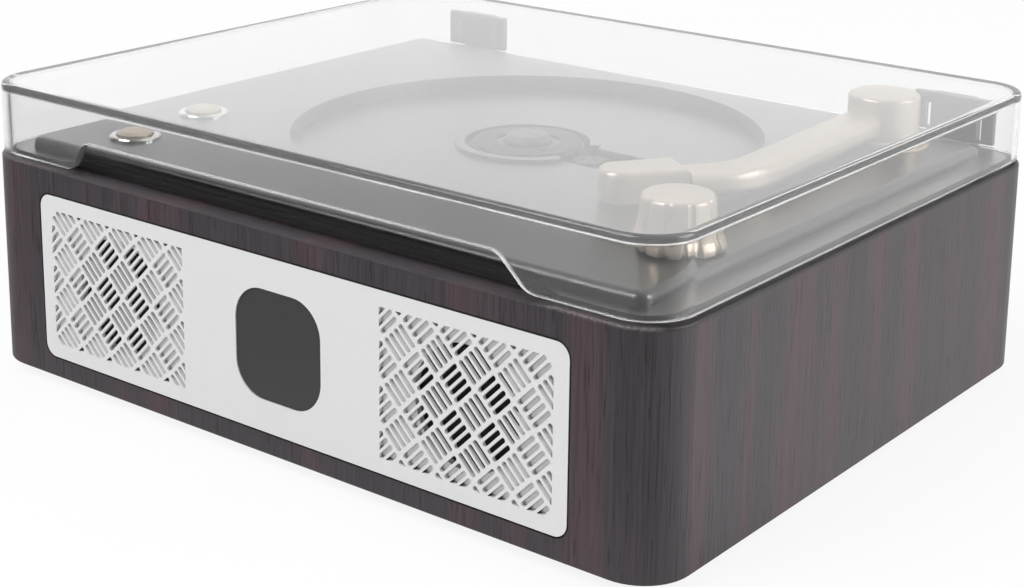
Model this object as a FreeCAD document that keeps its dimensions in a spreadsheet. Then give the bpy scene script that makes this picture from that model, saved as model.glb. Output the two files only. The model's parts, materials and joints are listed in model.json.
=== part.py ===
import FreeCAD, Part
import math
import os
import re
import Sketcher

# Desktop CD player in a wooden cabinet with a clear dust cover.
# Millimetres, +Z up, +X to the right seen from the front, +Y to the back.
# The cabinet is drawn about its own middle, with the floor at zero.

sizes = {
    # Wooden cabinet, its feet and its bottom
    "cabinetWidth": 245,
    "cabinetDepth": 200,
    "cabinetHeight": 64.4,
    "cabinetCorner": 14,
    "cabinetWall": 10,
    "cabinetEdge": 0.8,
    "footHeight": 3,
    "footRadius": 8,
    "footEdge": 0.8,
    "footInset": 24,
    "scoopDepth": 1,
    "scoopReach": 7,
    "scoopHalf": 84,
    "scoopSlope": 6,
    "coverGap": 0.3,
    "coverThick": 3,
    "ventLength": 24,
    "ventWidth": 3,
    "ventPitch": 9,
    "ventCount": 6,
    "ventX": 64,
    "ventY": 56,
    "blockSize": 16,
    "blockCut": 4,
    "blockHeight": 40,
    # Silver front panel with its two woven grilles
    "panelWidth": 192.6,
    "panelHeight": 49.8,
    "panelLow": 6.5,
    "panelCorner": 4,
    "panelThick": 3,
    "panelGap": 0.3,
    "panelLedge": 4,
    "grilleWidth": 55.4,
    "grilleHeight": 41,
    "grilleX": 64,
    "weavePitch": 12.2,
    "weaveShiftX": 3.7,
    "weaveShiftZ": 0.25,
    "slotCount": 4,
    "slotPitch": 2.2,
    "slotWidth": 1.4,
    "slotLength": 7.7,
    "slotDepth": 1.2,
    "soundRadius": 16.75,
    "soundWeb": 1,
    # Display behind its black window
    "windowSize": 31.5,
    "windowCorner": 10,
    "windowGap": 0.1,
    "windowRecess": 0.4,
    "windowFlange": 3,
    "windowFlangeThick": 2,
    "displayBoardWidth": 62,
    "displayBoardHeight": 36,
    "displayPostX": 25,
    "displayPostZ": 13,
    "displayPostRadius": 2.5,
    "boardThick": 1.6,
    # Loudspeakers
    "speakerRadius": 20,
    "speakerFlange": 1.5,
    "speakerDepth": 9,
    "basketWall": 1.2,
    "basketBack": 12,
    "basketWindow": 2.6,
    "coneRadius": 13.5,
    "coneThick": 0.5,
    "coneDepth": 5.5,
    "coilRadius": 5.5,
    "capRise": 2,
    "rollRise": 0.6,
    "speakerSlack": 0.1,
    "magnetRadius": 11,
    "magnetThick": 6,
    "yokeRadius": 9.5,
    "yokeThick": 1.5,
    # Black moulded deck with the disc well
    "flangeInset": 5,
    "flangeRearInset": 6.5,
    "flangeCorner": 9,
    "flangeThick": 1.6,
    "flangeCut": 3,
    "plateauSide": 7,
    "plateauFrontStep": 4,
    "plateauRearStep": 8.5,
    "plateauCorner": 4,
    "plateauEdge": 2.5,
    "plateauRise": 3.5,
    "deckWall": 2,
    "deckFit": 0.4,
    "skirtDepth": 7,
    "discX": 2,
    "discY": 4.5,
    "wellRadius": 71,
    "wellDepth": 4.5,
    "hubHole": 19,
    "hubRing": 22,
    "hubRingRise": 1,
    "pickupSlotStart": 17,
    "pickupSlotEnd": 63,
    "pickupSlotHalf": 9,
    "pickupSlotCorner": 3,
    # Disc mechanism under the deck
    "chassisDrop": 7.5,
    "chassisThick": 1.5,
    "chassisLeft": 70,
    "chassisRight": 80,
    "chassisHalfY": 62,
    "chassisCorner": 8,
    "chassisWindowStart": 12,
    "chassisWindowEnd": 72,
    "chassisWindowHalf": 15,
    "damperX": 62,
    "damperY": 54,
    "damperRadius": 4.5,
    "damperHeight": 3,
    "damperPin": 1.5,
    "damperBoss": 3.5,
    "motorRadius": 14,
    "motorHeight": 8,
    "motorNeck": 3,
    "motorNeckRise": 1.5,
    "motorFit": 0.05,
    "spindleRadius": 1,
    "spindleFit": 0.03,
    "spindleBelow": 7,
    "hubCollar": 4,
    "hubCollarDepth": 4,
    "hubSlack": 0.5,
    "platformRadius": 17,
    "platformThick": 2.2,
    "matThick": 0.6,
    "matInner": 10,
    "matOuter": 16.5,
    "centreRadius": 7.3,
    "centreRise": 2.9,
    "centreTaper": 1.6,
    "rodRadius": 1.5,
    "rodHalfY": 19,
    "rodLift": 3,
    "rodStart": 3,
    "rodEnd": 77,
    "rodFit": 0.05,
    "postLength": 4,
    "postHalf": 3,
    "postHeight": 6,
    "lensStart": 23,
    "lensRadius": 2.5,
    "lensHousing": 4.5,
    "lensRise": 1.8,
    "lensDome": 0.4,
    "sledHalfX": 14,
    "sledHalfY": 22,
    "sledGap": 0.4,
    "sledHeight": 6.4,
    "sledCorner": 2,
    "laserHalfX": 8,
    "laserHalfY": 12,
    "laserDepth": 5,
    "screwY": 29,
    "screwRadius": 1.5,
    "screwGap": 0.2,
    "nutHalfX": 5,
    "nutThick": 3,
    "tabThick": 2,
    "tabHalf": 6,
    "tabHeight": 9,
    "feedMotorRadius": 6,
    "feedMotorLength": 12,
    "screwInMotor": 4,
    # Main board on its posts
    "boardLift": 5,
    "boardPost": 3,
    "boardHalfX": 75,
    "boardFront": 20,
    "boardRear": 78,
    "boardPostInset": 6,
    "chipHalf": 7,
    "chipThick": 2,
    "chipX": 22,
    "canRadius": 6,
    "canHeight": 12,
    "canPitch": 18,
    # Rear jacks
    "jackPlateWidth": 74,
    "jackPlateHeight": 26,
    "jackPlateMid": 24,
    "jackPlateCorner": 3,
    "jackPlateThick": 2.5,
    "jackRecess": 2.5,
    "jackGap": 0.3,
    "jackLedge": 3,
    "jackSpread": 22,
    "jackDepth": 13,
    "inletHalf": 5.5,
    "inletNose": 4,
    "inletBore": 2.8,
    "inletBoreDepth": 9,
    "inletPin": 1,
    "inletPinShort": 1,
    "audioHalf": 4.5,
    "audioNose": 3.2,
    "audioBore": 1.8,
    "audioBoreDepth": 12,
    "noseFit": 0.05,
    "switchHalfX": 7,
    "switchHalfZ": 3.5,
    "switchDepth": 8,
    "sliderHalfX": 2,
    "sliderHalfZ": 1.5,
    "sliderTravel": 3,
    "sliderFit": 0.2,
    "sliderProud": 1.8,
    # Decorative tonearm
    "armSide": 23.2,
    "armRear": 16.7,
    "armBaseRadius": 12.5,
    "armBaseHeight": 0.8,
    "armBaseEdge": 0.4,
    "bushRadius": 5,
    "bushFit": 0.02,
    "bushDepth": 6,
    "shaftRadius": 3.95,
    "shaftFit": 0.05,
    "shaftRise": 7,
    "shaftClip": 6.5,
    "shaftClipThick": 1.5,
    "shaftClipGap": 0.3,
    "postRadius": 10.7,
    "postTop": 13.2,
    "postEdge": 1.2,
    "postGap": 0.3,
    "armWidth": 12.4,
    "armLow": 1.2,
    "armThick": 7.3,
    "armEdge": 3,
    "armRootShift": 2,
    "armRootStart": 6.3,
    "armBendShift": 0.7,
    "armBendStart": 19,
    "armBendRadius": 19,
    "armSeat": 0.02,
    "headSide": 33.7,
    "headFront": 65.7,
    "headAngle": -34.8,
    "headLength": 22.9,
    "headHalf": 6.3,
    "headLow": 1.1,
    "headThick": 8.7,
    "headNose": 5.5,
    "headEdge": 1.8,
    "headShift": 2.2,
    "headGap": 0.4,
    # Volume knob on its encoder
    "knobSide": 13.7,
    "knobFront": 34.3,
    "knobGap": 0.3,
    "knobTop": 12.2,
    "knobTopRadius": 9.6,
    "knobWaist": 10.2,
    "knobWaistRise": 4.4,
    "knobWaistRound": 3,
    "knobFlare": 11.2,
    "knobFlareRise": 1.7,
    "knobFlareRound": 0.8,
    "knobFoot": 10.2,
    "knobEdge": 1.4,
    "fluteCount": 10,
    "fluteWidth": 1.4,
    "fluteDepth": 0.6,
    "fluteTop": 10.4,
    "encoderHalf": 6,
    "encoderHeight": 6.5,
    "encoderNeck": 3.5,
    "encoderNeckFit": 0.05,
    "encoderNeckShort": 0.2,
    "encoderShaft": 2.95,
    "encoderFit": 0.05,
    "encoderShaftRise": 8,
    "encoderShaftSunk": 5,
    # Push buttons
    "buttonSide": 25.5,
    "buttonFront": 19,
    "buttonPitch": 26,
    "buttonRadius": 5.3,
    "buttonFit": 0.3,
    "buttonRise": 1.6,
    "buttonDome": 1,
    "buttonTravel": 1,
    "buttonLip": 1.1,
    "buttonLipThick": 1,
    "buttonStem": 1.5,
    "buttonStemLength": 1.7,
    "buttonRing": 7.5,
    "buttonRingRise": 1,
    "buttonRingEdge": 0.4,
    "switchGap": 0.2,
    "tactHalf": 3,
    "tactHeight": 3.5,
    "buttonBoardHalfX": 8,
    "buttonBoardEnd": 9,
    "buttonPostX": 4,
    "buttonPost": 2.5,
    # Clear dust cover and its hinges
    "lidInset": 0.7,
    "lidCorner": 13.3,
    "lidGap": 0.9,
    "lidHeight": 20.9,
    "lidWall": 2.5,
    "lidEdge": 2.4,
    "notchHeight": 8.7,
    "notchBottom": 82.4,
    "notchTop": 73,
    "notchRound": 7,
    "hingeX": 95,
    "hingeDrop": 2.8,
    "hingeGap": 0.4,
    "hingeHalf": 12.5,
    "knuckleRadius": 2,
    "knuckleHalf": 7.2,
    "knuckleGap": 0.3,
    "pinRadius": 1.2,
    "pinFit": 0.05,
    "earFit": 0.01,
    "bracketHeight": 12,
    "bracketThick": 1.8,
    "bracketGap": 0.5,
    "leafThick": 2.2,
    "leafLift": 0.5,
    "leafTop": 12.2,
    "leafBlock": 6.9,
    "leafBlockThick": 1.2,
    "leafSlit": 1.8,
    "leafSlitStart": 1.3,
    "leafSlitTop": 8.9,
}

# Levels and places that several pieces share, as formulas of the sizes
rim = "(footHeight + cabinetHeight)"
flangeTop = f"({rim} + flangeThick)"
plateau = f"({flangeTop} + plateauRise)"
deckUnder = f"({plateau} - deckWall)"
wellFloor = f"({plateau} - wellDepth)"
wellUnder = f"({wellFloor} - deckWall)"
coverTop = "(footHeight + coverThick)"
boardLow = f"({coverTop} + boardLift)"
cavityX = "(cabinetWidth / 2 - cabinetWall)"
cavityY = "(cabinetDepth / 2 - cabinetWall)"
cavityCorner = "(cabinetCorner - cabinetWall)"
frontFace = "(cabinetDepth / 2)"
panelBack = "(cabinetDepth / 2 - panelThick)"
panelMid = "(footHeight + panelLow + panelHeight / 2)"
jackFace = "(cabinetDepth / 2 - jackRecess)"
jackBack = f"({jackFace} - jackPlateThick)"
jackMid = "(footHeight + jackPlateMid)"
chassisTop = f"({wellUnder} - chassisDrop)"
chassisUnder = f"({chassisTop} - chassisThick)"
rodLevel = f"({chassisTop} + rodLift)"
platformTop = f"({wellFloor} + hubRingRise - matThick)"
platformUnder = f"({platformTop} - platformThick)"
sledLow = f"({chassisTop} + sledGap)"
sledTop = f"({sledLow} + sledHeight)"
lidBase = f"({rim} + lidGap)"
lidTop = f"({lidBase} + lidHeight)"
lidHalfX = "(cabinetWidth / 2 - lidInset)"
lidHalfY = "(cabinetDepth / 2 - lidInset)"
hingeY = "(cabinetDepth / 2 + hingeGap + knuckleRadius)"
hingeZ = f"({rim} - hingeDrop)"
rearReach = f"({hingeY} + knuckleRadius - cabinetDepth / 2)"
flangeHalfX = "(cabinetWidth / 2 - flangeInset)"
flangeFront = "(cabinetDepth / 2 - flangeInset)"
flangeRear = "(cabinetDepth / 2 - flangeRearInset)"
plateauHalfX = f"({flangeHalfX} - plateauSide)"
plateauFront = f"({flangeFront} - plateauFrontStep)"
plateauRear = f"({flangeRear} - plateauRearStep)"
armX = f"({plateauHalfX} - armSide)"
armY = f"({plateauRear} - armRear)"
headX = f"({plateauHalfX} - headSide)"
headY = f"(headFront - {plateauFront})"
armRootX = f"({armX} - armRootShift)"
armRootY = f"({armY} - armRootStart)"
armBendX = f"({armX} + armBendShift)"
armBendY = f"({headY} + armBendStart)"
knobX = f"({plateauHalfX} - knobSide)"
knobY = f"(knobFront - {plateauFront})"
buttonX = f"(buttonSide - {plateauHalfX})"
buttonFrontY = f"(buttonFront - {plateauFront})"
buttonRearY = f"({buttonFrontY} + buttonPitch)"
bushTop = f"({plateau} + armBaseHeight)"
lipTop = f"({deckUnder} - buttonFit)"
lipLow = f"({lipTop} - buttonLipThick)"
tactTop = f"({lipLow} - buttonStemLength - buttonTravel - switchGap)"
buttonBoardTop = f"({tactTop} - tactHeight)"

doc = FreeCAD.newDocument("cd_player")
dims = doc.addObject("Spreadsheet::Sheet", "dims")
for row, (name, number) in enumerate(sizes.items(), start=1):
    dims.set(f"A{row}", name)
    dims.set(f"B{row}", str(number))
    dims.setAlias(f"B{row}", name)
doc.recompute()

near = 1e-4
nodes = {}


def named(formula):
    """Write a formula of size names as an expression on the sheet's cells."""
    def cell(match):
        word = match.group(0)
        return f"dims.{word}" if word in sizes else word
    return re.sub(r"[A-Za-z]\w*", cell, formula)


def value(formula):
    """Work a formula out as a number."""
    return float(dims.evalExpression(named(formula)))


def point(x, y):
    return FreeCAD.Vector(value(x), value(y), 0)


def tie(sketch, kind, places, formula):
    """Add a dimension to a sketch and bind it to a formula."""
    index = sketch.addConstraint(Sketcher.Constraint(kind, *places, value(formula)))
    label = f"size{index}"
    sketch.renameConstraint(index, label)
    sketch.setExpression(f"Constraints.{label}", named(formula))


def pin(sketch, geometry, end, x, y):
    """Fix a point of a sketch at two formulas from its origin."""
    tie(sketch, "DistanceX", (-1, 1, geometry, end), x)
    tie(sketch, "DistanceY", (-1, 1, geometry, end), y)


def polygon(sketch, corners):
    count = len(corners)
    spots = [point(x, y) for x, y in corners]
    lines = []
    for i in range(count):
        lines.append(sketch.addGeometry(Part.LineSegment(spots[i], spots[(i + 1) % count])))
    for i in range(count):
        sketch.addConstraint(Sketcher.Constraint("Coincident", lines[i], 2, lines[(i + 1) % count], 1))
    for line, (x, y) in zip(lines, corners):
        pin(sketch, line, 1, x, y)


def rectangle(sketch, x0, x1, y0, y1):
    polygon(sketch, [(x0, y0), (x1, y0), (x1, y1), (x0, y1)])


def circle(sketch, x, y, radius):
    round_ = sketch.addGeometry(Part.Circle(point(x, y), FreeCAD.Vector(0, 0, 1), value(radius)))
    pin(sketch, round_, 3, x, y)
    tie(sketch, "Radius", (round_,), radius)


def rounded(sketch, x0, x1, y0, y1, radius):
    """A rectangle whose four corners are equal tangent arcs."""
    left, right, low, high, r = (value(f) for f in (x0, x1, y0, y1, radius))
    up = FreeCAD.Vector(0, 0, 1)
    ends = [((left + r, low), (right - r, low)), ((right, low + r), (right, high - r)),
            ((right - r, high), (left + r, high)), ((left, high - r), (left, low + r))]
    hearts = [(right - r, low + r), (right - r, high - r), (left + r, high - r), (left + r, low + r)]
    lines = []
    arcs = []
    for start, end in ends:
        lines.append(sketch.addGeometry(Part.LineSegment(FreeCAD.Vector(*start, 0), FreeCAD.Vector(*end, 0))))
    for i, heart in enumerate(hearts):
        whole = Part.Circle(FreeCAD.Vector(*heart, 0), up, r)
        turn = (i - 1) * math.pi / 2
        arcs.append(sketch.addGeometry(Part.ArcOfCircle(whole, turn, turn + math.pi / 2)))
    for i in range(4):
        sketch.addConstraint(Sketcher.Constraint("Tangent", lines[i], 2, arcs[i], 1))
        sketch.addConstraint(Sketcher.Constraint("Tangent", arcs[i], 2, lines[(i + 1) % 4], 1))
        sketch.addConstraint(Sketcher.Constraint("Horizontal" if i % 2 == 0 else "Vertical", lines[i]))
    for arc in arcs[1:]:
        sketch.addConstraint(Sketcher.Constraint("Equal", arcs[0], arc))
    tie(sketch, "Radius", (arcs[0],), radius)
    tie(sketch, "DistanceY", (-1, 1, lines[0], 1), y0)
    tie(sketch, "DistanceX", (-1, 1, lines[1], 1), x1)
    tie(sketch, "DistanceY", (-1, 1, lines[2], 1), y1)
    tie(sketch, "DistanceX", (-1, 1, lines[3], 1), x0)


class Piece:
    """One sub-part: a body that sketches and features are added to."""

    def __init__(self, label, keep=True):
        self.label = label
        self.body = doc.addObject("PartDesign::Body", label)
        self.body.Label = label
        self.body.AllowCompound = True
        if keep:
            nodes[label] = self.body

    def origin(self, role):
        return next(o for o in self.body.Origin.OriginFeatures if o.Role == role)

    def sketch(self, plane, offset):
        """A sketch on XY (offset up), XZ (offset to the front) or YZ (offset to the right)."""
        sketch = self.body.newObject("Sketcher::SketchObject", f"{self.label}_sketch")
        sketch.AttachmentSupport = [(self.origin(f"{plane}_Plane"), "")]
        sketch.MapMode = "FlatFace"
        sketch.setExpression("AttachmentOffset.Base.z", named(offset))
        return sketch

    def volume(self):
        doc.recompute()
        return self.body.Shape.Volume

    def pad(self, sketch, length, back=False):
        pad = self.body.newObject("PartDesign::Pad", f"{self.label}_pad")
        pad.Profile = sketch
        pad.Reversed = back
        pad.setExpression("Length", named(length))

    def pocket(self, sketch, depth, back=False):
        before = self.volume()
        pocket = self.body.newObject("PartDesign::Pocket", f"{self.label}_pocket")
        pocket.Profile = sketch
        pocket.Reversed = back
        pocket.setExpression("Length", named(depth))
        if self.volume() > before - near:
            raise RuntimeError(f"a pocket of {self.label} cuts nothing")
        return pocket

    def through(self, sketch, depth):
        """A pocket that reaches the same depth on both sides of its sketch."""
        pocket = self.pocket(sketch, depth)
        pocket.Midplane = True
        return pocket

    def revolve(self, sketch):
        turn = self.body.newObject("PartDesign::Revolution", f"{self.label}_turn")
        turn.Profile = sketch
        turn.ReferenceAxis = (sketch, ["V_Axis"])
        turn.Angle = 360

    def edges(self, test):
        doc.recompute()
        base = self.body.Tip
        return base, [f"Edge{i}" for i, edge in enumerate(base.Shape.Edges, start=1) if test(edge)]

    def fillet(self, radius, test):
        base, names = self.edges(test)
        fillet = self.body.newObject("PartDesign::Fillet", f"{self.label}_fillet")
        fillet.Base = (base, names)
        fillet.setExpression("Radius", named(radius))

    def chamfer(self, width, test):
        base, names = self.edges(test)
        chamfer = self.body.newObject("PartDesign::Chamfer", f"{self.label}_chamfer")
        chamfer.Base = (base, names)
        chamfer.setExpression("Size", named(width))

    def ring(self, feature, count):
        """Repeat a feature round the body's own Z axis."""
        pattern = self.body.newObject("PartDesign::PolarPattern", f"{self.label}_pattern")
        pattern.Originals = [feature]
        pattern.Axis = (self.origin("Z_Axis"), [""])
        pattern.Angle = 360
        pattern.setExpression("Occurrences", named(count))
        self.body.Tip = pattern

    def place(self, x, y, z="0"):
        for axis, formula in zip("xyz", (x, y, z)):
            self.body.setExpression(f"Placement.Base.{axis}", named(formula))


def turned(label, outline, x, y):
    """A round piece: an outline of (radius, height) points turned about its own upright axis."""
    piece = Piece(label)
    sketch = piece.sketch("XZ", "0")
    polygon(sketch, outline)
    piece.revolve(sketch)
    piece.place(x, y)
    return piece


def level(edge, z):
    box = edge.BoundBox
    return abs(box.ZMin - value(z)) < near and abs(box.ZMax - value(z)) < near


def upright(edge):
    box = edge.BoundBox
    return box.ZLength > near and box.XLength < near and box.YLength < near


def cabinet():
    piece = Piece("cabinet")
    plan = piece.sketch("XY", "footHeight")
    rounded(plan, "-cabinetWidth / 2", "cabinetWidth / 2", "-cabinetDepth / 2", "cabinetDepth / 2",
            "cabinetCorner")
    rounded(plan, f"-{cavityX}", cavityX, f"-{cavityY}", cavityY, cavityCorner)
    piece.pad(plan, "cabinetHeight")

    def outer(edge):
        middle = edge.valueAt((edge.FirstParameter + edge.LastParameter) / 2)
        outside = abs(middle.x) > value(cavityX) + near or abs(middle.y) > value(cavityY) + near
        return outside and (level(edge, "footHeight") or level(edge, rim))
    piece.fillet("cabinetEdge", outer)
    half = "(panelWidth / 2 + panelGap)"
    tall = "(panelHeight / 2 + panelGap)"
    rebate = piece.sketch("XZ", frontFace)
    rounded(rebate, f"-{half}", half, f"{panelMid} - {tall}", f"{panelMid} + {tall}",
            "panelCorner + panelGap")
    piece.pocket(rebate, "panelThick")
    half = "(panelWidth / 2 - panelLedge)"
    tall = "(panelHeight / 2 - panelLedge)"
    window = piece.sketch("XZ", panelBack)
    rectangle(window, f"-{half}", half, f"{panelMid} - {tall}", f"{panelMid} + {tall}")
    piece.pocket(window, "cabinetWall")
    scoop = piece.sketch("XZ", frontFace)
    polygon(scoop, [("-scoopHalf - scoopSlope", rim), ("-scoopHalf", f"{rim} - scoopDepth"),
                    ("scoopHalf", f"{rim} - scoopDepth"), ("scoopHalf + scoopSlope", rim)])
    piece.pocket(scoop, "scoopReach")
    half = "(jackPlateWidth / 2 + jackGap)"
    tall = "(jackPlateHeight / 2 + jackGap)"
    rebate = piece.sketch("XZ", f"-{frontFace}")
    rounded(rebate, f"-{half}", half, f"{jackMid} - {tall}", f"{jackMid} + {tall}",
            "jackPlateCorner + jackGap")
    piece.pocket(rebate, "jackRecess + jackPlateThick", back=True)
    half = "(jackPlateWidth / 2 - jackLedge)"
    tall = "(jackPlateHeight / 2 - jackLedge)"
    window = piece.sketch("XZ", f"-{jackBack}")
    rectangle(window, f"-{half}", half, f"{jackMid} - {tall}", f"{jackMid} + {tall}")
    piece.pocket(window, "cabinetWall", back=True)


def corner_blocks():
    piece = Piece("corner_blocks")
    plan = piece.sketch("XY", coverTop)
    for sx in ("", "-"):
        for sy in ("", "-"):
            polygon(plan, [(f"{sx}({cavityX} - blockSize)", f"{sy}({cavityY} - blockSize)"),
                           (f"{sx}{cavityX}", f"{sy}({cavityY} - blockSize)"),
                           (f"{sx}{cavityX}", f"{sy}({cavityY} - blockCut)"),
                           (f"{sx}({cavityX} - blockCut)", f"{sy}{cavityY}"),
                           (f"{sx}({cavityX} - blockSize)", f"{sy}{cavityY}")])
    piece.pad(plan, "blockHeight")


def bottom_cover():
    piece = Piece("bottom_cover")
    plan = piece.sketch("XY", "footHeight")
    rounded(plan, f"-({cavityX} - coverGap)", f"{cavityX} - coverGap",
            f"-({cavityY} - coverGap)", f"{cavityY} - coverGap", f"{cavityCorner} - coverGap")
    piece.pad(plan, "coverThick")
    posts = piece.sketch("XY", coverTop)
    for x in ("(boardHalfX - boardPostInset)", "(boardPostInset - boardHalfX)"):
        for y in ("(boardFront + boardPostInset)", "(boardRear - boardPostInset)"):
            circle(posts, x, y, "boardPost")
    piece.pad(posts, "boardLift")
    vents = piece.sketch("XY", coverTop)
    for side in ("-", ""):
        for i in range(int(value("ventCount"))):
            x = f"({side}ventX + ({i} - (ventCount - 1) / 2) * ventPitch)"
            rectangle(vents, f"{x} - ventWidth / 2", f"{x} + ventWidth / 2",
                      "-ventY - ventLength / 2", "-ventY + ventLength / 2")
    piece.pocket(vents, "coverThick")


def feet():
    piece = Piece("feet")
    plan = piece.sketch("XY", "0")
    for sx in ("", "-"):
        for sy in ("", "-"):
            circle(plan, f"{sx}(cabinetWidth / 2 - footInset)", f"{sy}(cabinetDepth / 2 - footInset)",
                   "footRadius")
    piece.pad(plan, "footHeight")
    piece.fillet("footEdge", lambda edge: level(edge, "0"))


def slot_face(middle, along, length, width):
    """A long slot with blunt round ends, as a face in the XZ plane."""
    across = FreeCAD.Vector(-along.z, 0, along.x)
    half = width / 2
    reach = length / 2 - half
    bevel = half * math.tan(math.pi / 8)
    corners = []
    for end in (1, -1):
        for a, c in ((reach, -1), (reach + half - bevel, -bevel / half), (reach + half - bevel, bevel / half),
                     (reach, 1)):
            corners.append(middle + along * (end * a) + across * (end * c * half))
    return Part.Face(Part.makePolygon(corners + corners[:1]))


def weave_cutter(side):
    """The basket weave of one grille: squares of parallel slots, each turned across the next."""
    pitch = value("weavePitch")
    half_x = value("grilleWidth / 2")
    half_z = value("grilleHeight / 2")
    middle = FreeCAD.Vector(side * value("grilleX"), -value(frontFace), value(panelMid))
    signs = ((-1, -1), (1, -1), (1, 1), (-1, 1))
    corners = [middle + FreeCAD.Vector(half_x * x, 0, half_z * z) for x, z in signs]
    field = Part.Face(Part.makePolygon(corners + corners[:1]))
    count = int(value("slotCount"))
    steps = math.ceil(max(half_x, half_z) / pitch) + 1
    faces = []
    for turn, shift in ((-1, 0), (1, 0.5)):
        along = FreeCAD.Vector(side, 0, turn).normalize()
        across = FreeCAD.Vector(-along.z, 0, along.x)
        for i in range(-steps, steps + 1):
            for j in range(-steps, steps + 1):
                cell = FreeCAD.Vector(side * (value("weaveShiftX") + (i + shift) * pitch), 0,
                                      value("weaveShiftZ") + (j + shift) * pitch)
                for k in range(count):
                    spot = cell + across * ((k - (count - 1) / 2) * value("slotPitch"))
                    if abs(spot.x) > half_x + pitch or abs(spot.z) > half_z + pitch:
                        continue
                    slot = slot_face(middle + spot, along, value("slotLength"), value("slotWidth"))
                    faces.extend(slot.common(field).Faces)
    smallest = value("slotWidth") ** 2 / 2
    depth = FreeCAD.Vector(0, value("slotDepth"), 0)
    return Part.makeCompound([face.extrude(depth) for face in faces if face.Area > smallest])


def front_panel():
    blank = Piece("panel_blank", keep=False)
    half = "panelWidth / 2"
    outline = blank.sketch("XZ", frontFace)
    rounded(outline, f"-{half}", half, f"{panelMid} - panelHeight / 2", f"{panelMid} + panelHeight / 2",
            "panelCorner")
    rounded(outline, "-windowSize / 2", "windowSize / 2", f"{panelMid} - windowSize / 2",
            f"{panelMid} + windowSize / 2", "windowCorner")
    blank.pad(outline, "panelThick", back=True)
    posts = blank.sketch("XZ", panelBack)
    for sx in ("", "-"):
        for sz in ("+", "-"):
            circle(posts, f"{sx}displayPostX", f"{panelMid} {sz} displayPostZ", "displayPostRadius")
    blank.pad(posts, "windowFlangeThick", back=True)
    sound = blank.sketch("XZ", panelBack)
    for sx in ("", "-"):
        circle(sound, f"{sx}grilleX", panelMid, "soundRadius")
    blank.pocket(sound, "panelThick - soundWeb", back=True)
    weave = doc.addObject("Part::Feature", "weave")
    weave.Shape = Part.makeCompound([weave_cutter(side) for side in (-1, 1)])
    panel = doc.addObject("Part::Cut", "front_panel")
    panel.Label = "front_panel"
    panel.Base = blank.body
    panel.Tool = weave
    nodes["front_panel"] = panel


def display():
    window = Piece("display_window")
    half = "(windowSize / 2 - windowGap)"
    plug = window.sketch("XZ", f"{frontFace} - windowRecess")
    rounded(plug, f"-{half}", half, f"{panelMid} - {half}", f"{panelMid} + {half}",
            "windowCorner - windowGap")
    window.pad(plug, "panelThick - windowRecess", back=True)
    half = "(windowSize / 2 + windowFlange)"
    rest = window.sketch("XZ", panelBack)
    rounded(rest, f"-{half}", half, f"{panelMid} - {half}", f"{panelMid} + {half}",
            "windowCorner + windowFlange")
    window.pad(rest, "windowFlangeThick", back=True)
    board = Piece("display_board")
    plate = board.sketch("XZ", f"{panelBack} - windowFlangeThick")
    rectangle(plate, "-displayBoardWidth / 2", "displayBoardWidth / 2",
              f"{panelMid} - displayBoardHeight / 2", f"{panelMid} + displayBoardHeight / 2")
    board.pad(plate, "boardThick", back=True)


def speaker(side, sign):
    """One loudspeaker, drawn upright and then laid with its front against the panel's back."""
    slope = "(speakerRadius - 2 * basketWall)"
    basket = turned(f"speaker_basket_{side}", [
        ("soundRadius + speakerSlack", "0"), ("speakerRadius", "0"), ("speakerRadius", "speakerFlange"),
        (slope, "speakerFlange"), ("basketBack", "speakerDepth"), ("basketBack", "speakerDepth + basketWall"),
        ("coilRadius + basketWall", "speakerDepth + basketWall"), ("coilRadius + basketWall", "speakerDepth"),
        ("basketBack - basketWall", "speakerDepth"), (f"{slope} - basketWall", "speakerFlange"),
        ("soundRadius + speakerSlack", "speakerFlange")], f"{sign}grilleX", f"-{panelBack}")
    for plane in ("XZ", "YZ"):
        vents = basket.sketch(plane, "0")
        circle(vents, "0", "(speakerFlange + speakerDepth) / 2", "basketWindow")
        basket.through(vents, "4 * speakerRadius")
    cone = turned(f"speaker_cone_{side}", [
        ("0", "coneDepth - capRise"), ("coilRadius / 2", "coneDepth - capRise * 3 / 4"),
        ("coilRadius", "coneDepth"), ("coneRadius", "rollRise + coneThick"),
        ("(coneRadius + soundRadius) / 2", "0"), ("soundRadius", "rollRise"),
        ("soundRadius", "rollRise + coneThick"), ("(coneRadius + soundRadius) / 2", "coneThick"),
        ("coneRadius", "rollRise + 2 * coneThick"), ("coilRadius", "coneDepth + coneThick"),
        ("coilRadius", "speakerDepth - speakerSlack"),
        ("coilRadius - coneThick", "speakerDepth - speakerSlack"),
        ("coilRadius - coneThick", "coneDepth + coneThick"), ("0", "coneDepth - capRise + coneThick")],
        f"{sign}grilleX", f"-{panelBack}")
    magnet = turned(f"speaker_magnet_{side}", [
        ("0", "speakerDepth + basketWall"), ("magnetRadius", "speakerDepth + basketWall"),
        ("magnetRadius", "speakerDepth + basketWall + magnetThick"),
        ("yokeRadius", "speakerDepth + basketWall + magnetThick"),
        ("yokeRadius", "speakerDepth + basketWall + magnetThick + yokeThick"),
        ("0", "speakerDepth + basketWall + magnetThick + yokeThick")], f"{sign}grilleX", f"-{panelBack}")
    for piece in (basket, cone, magnet):
        piece.place(f"{sign}grilleX", f"-{panelBack}", panelMid)
        piece.body.Placement.Rotation = FreeCAD.Rotation(FreeCAD.Vector(1, 0, 0), -90)


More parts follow.
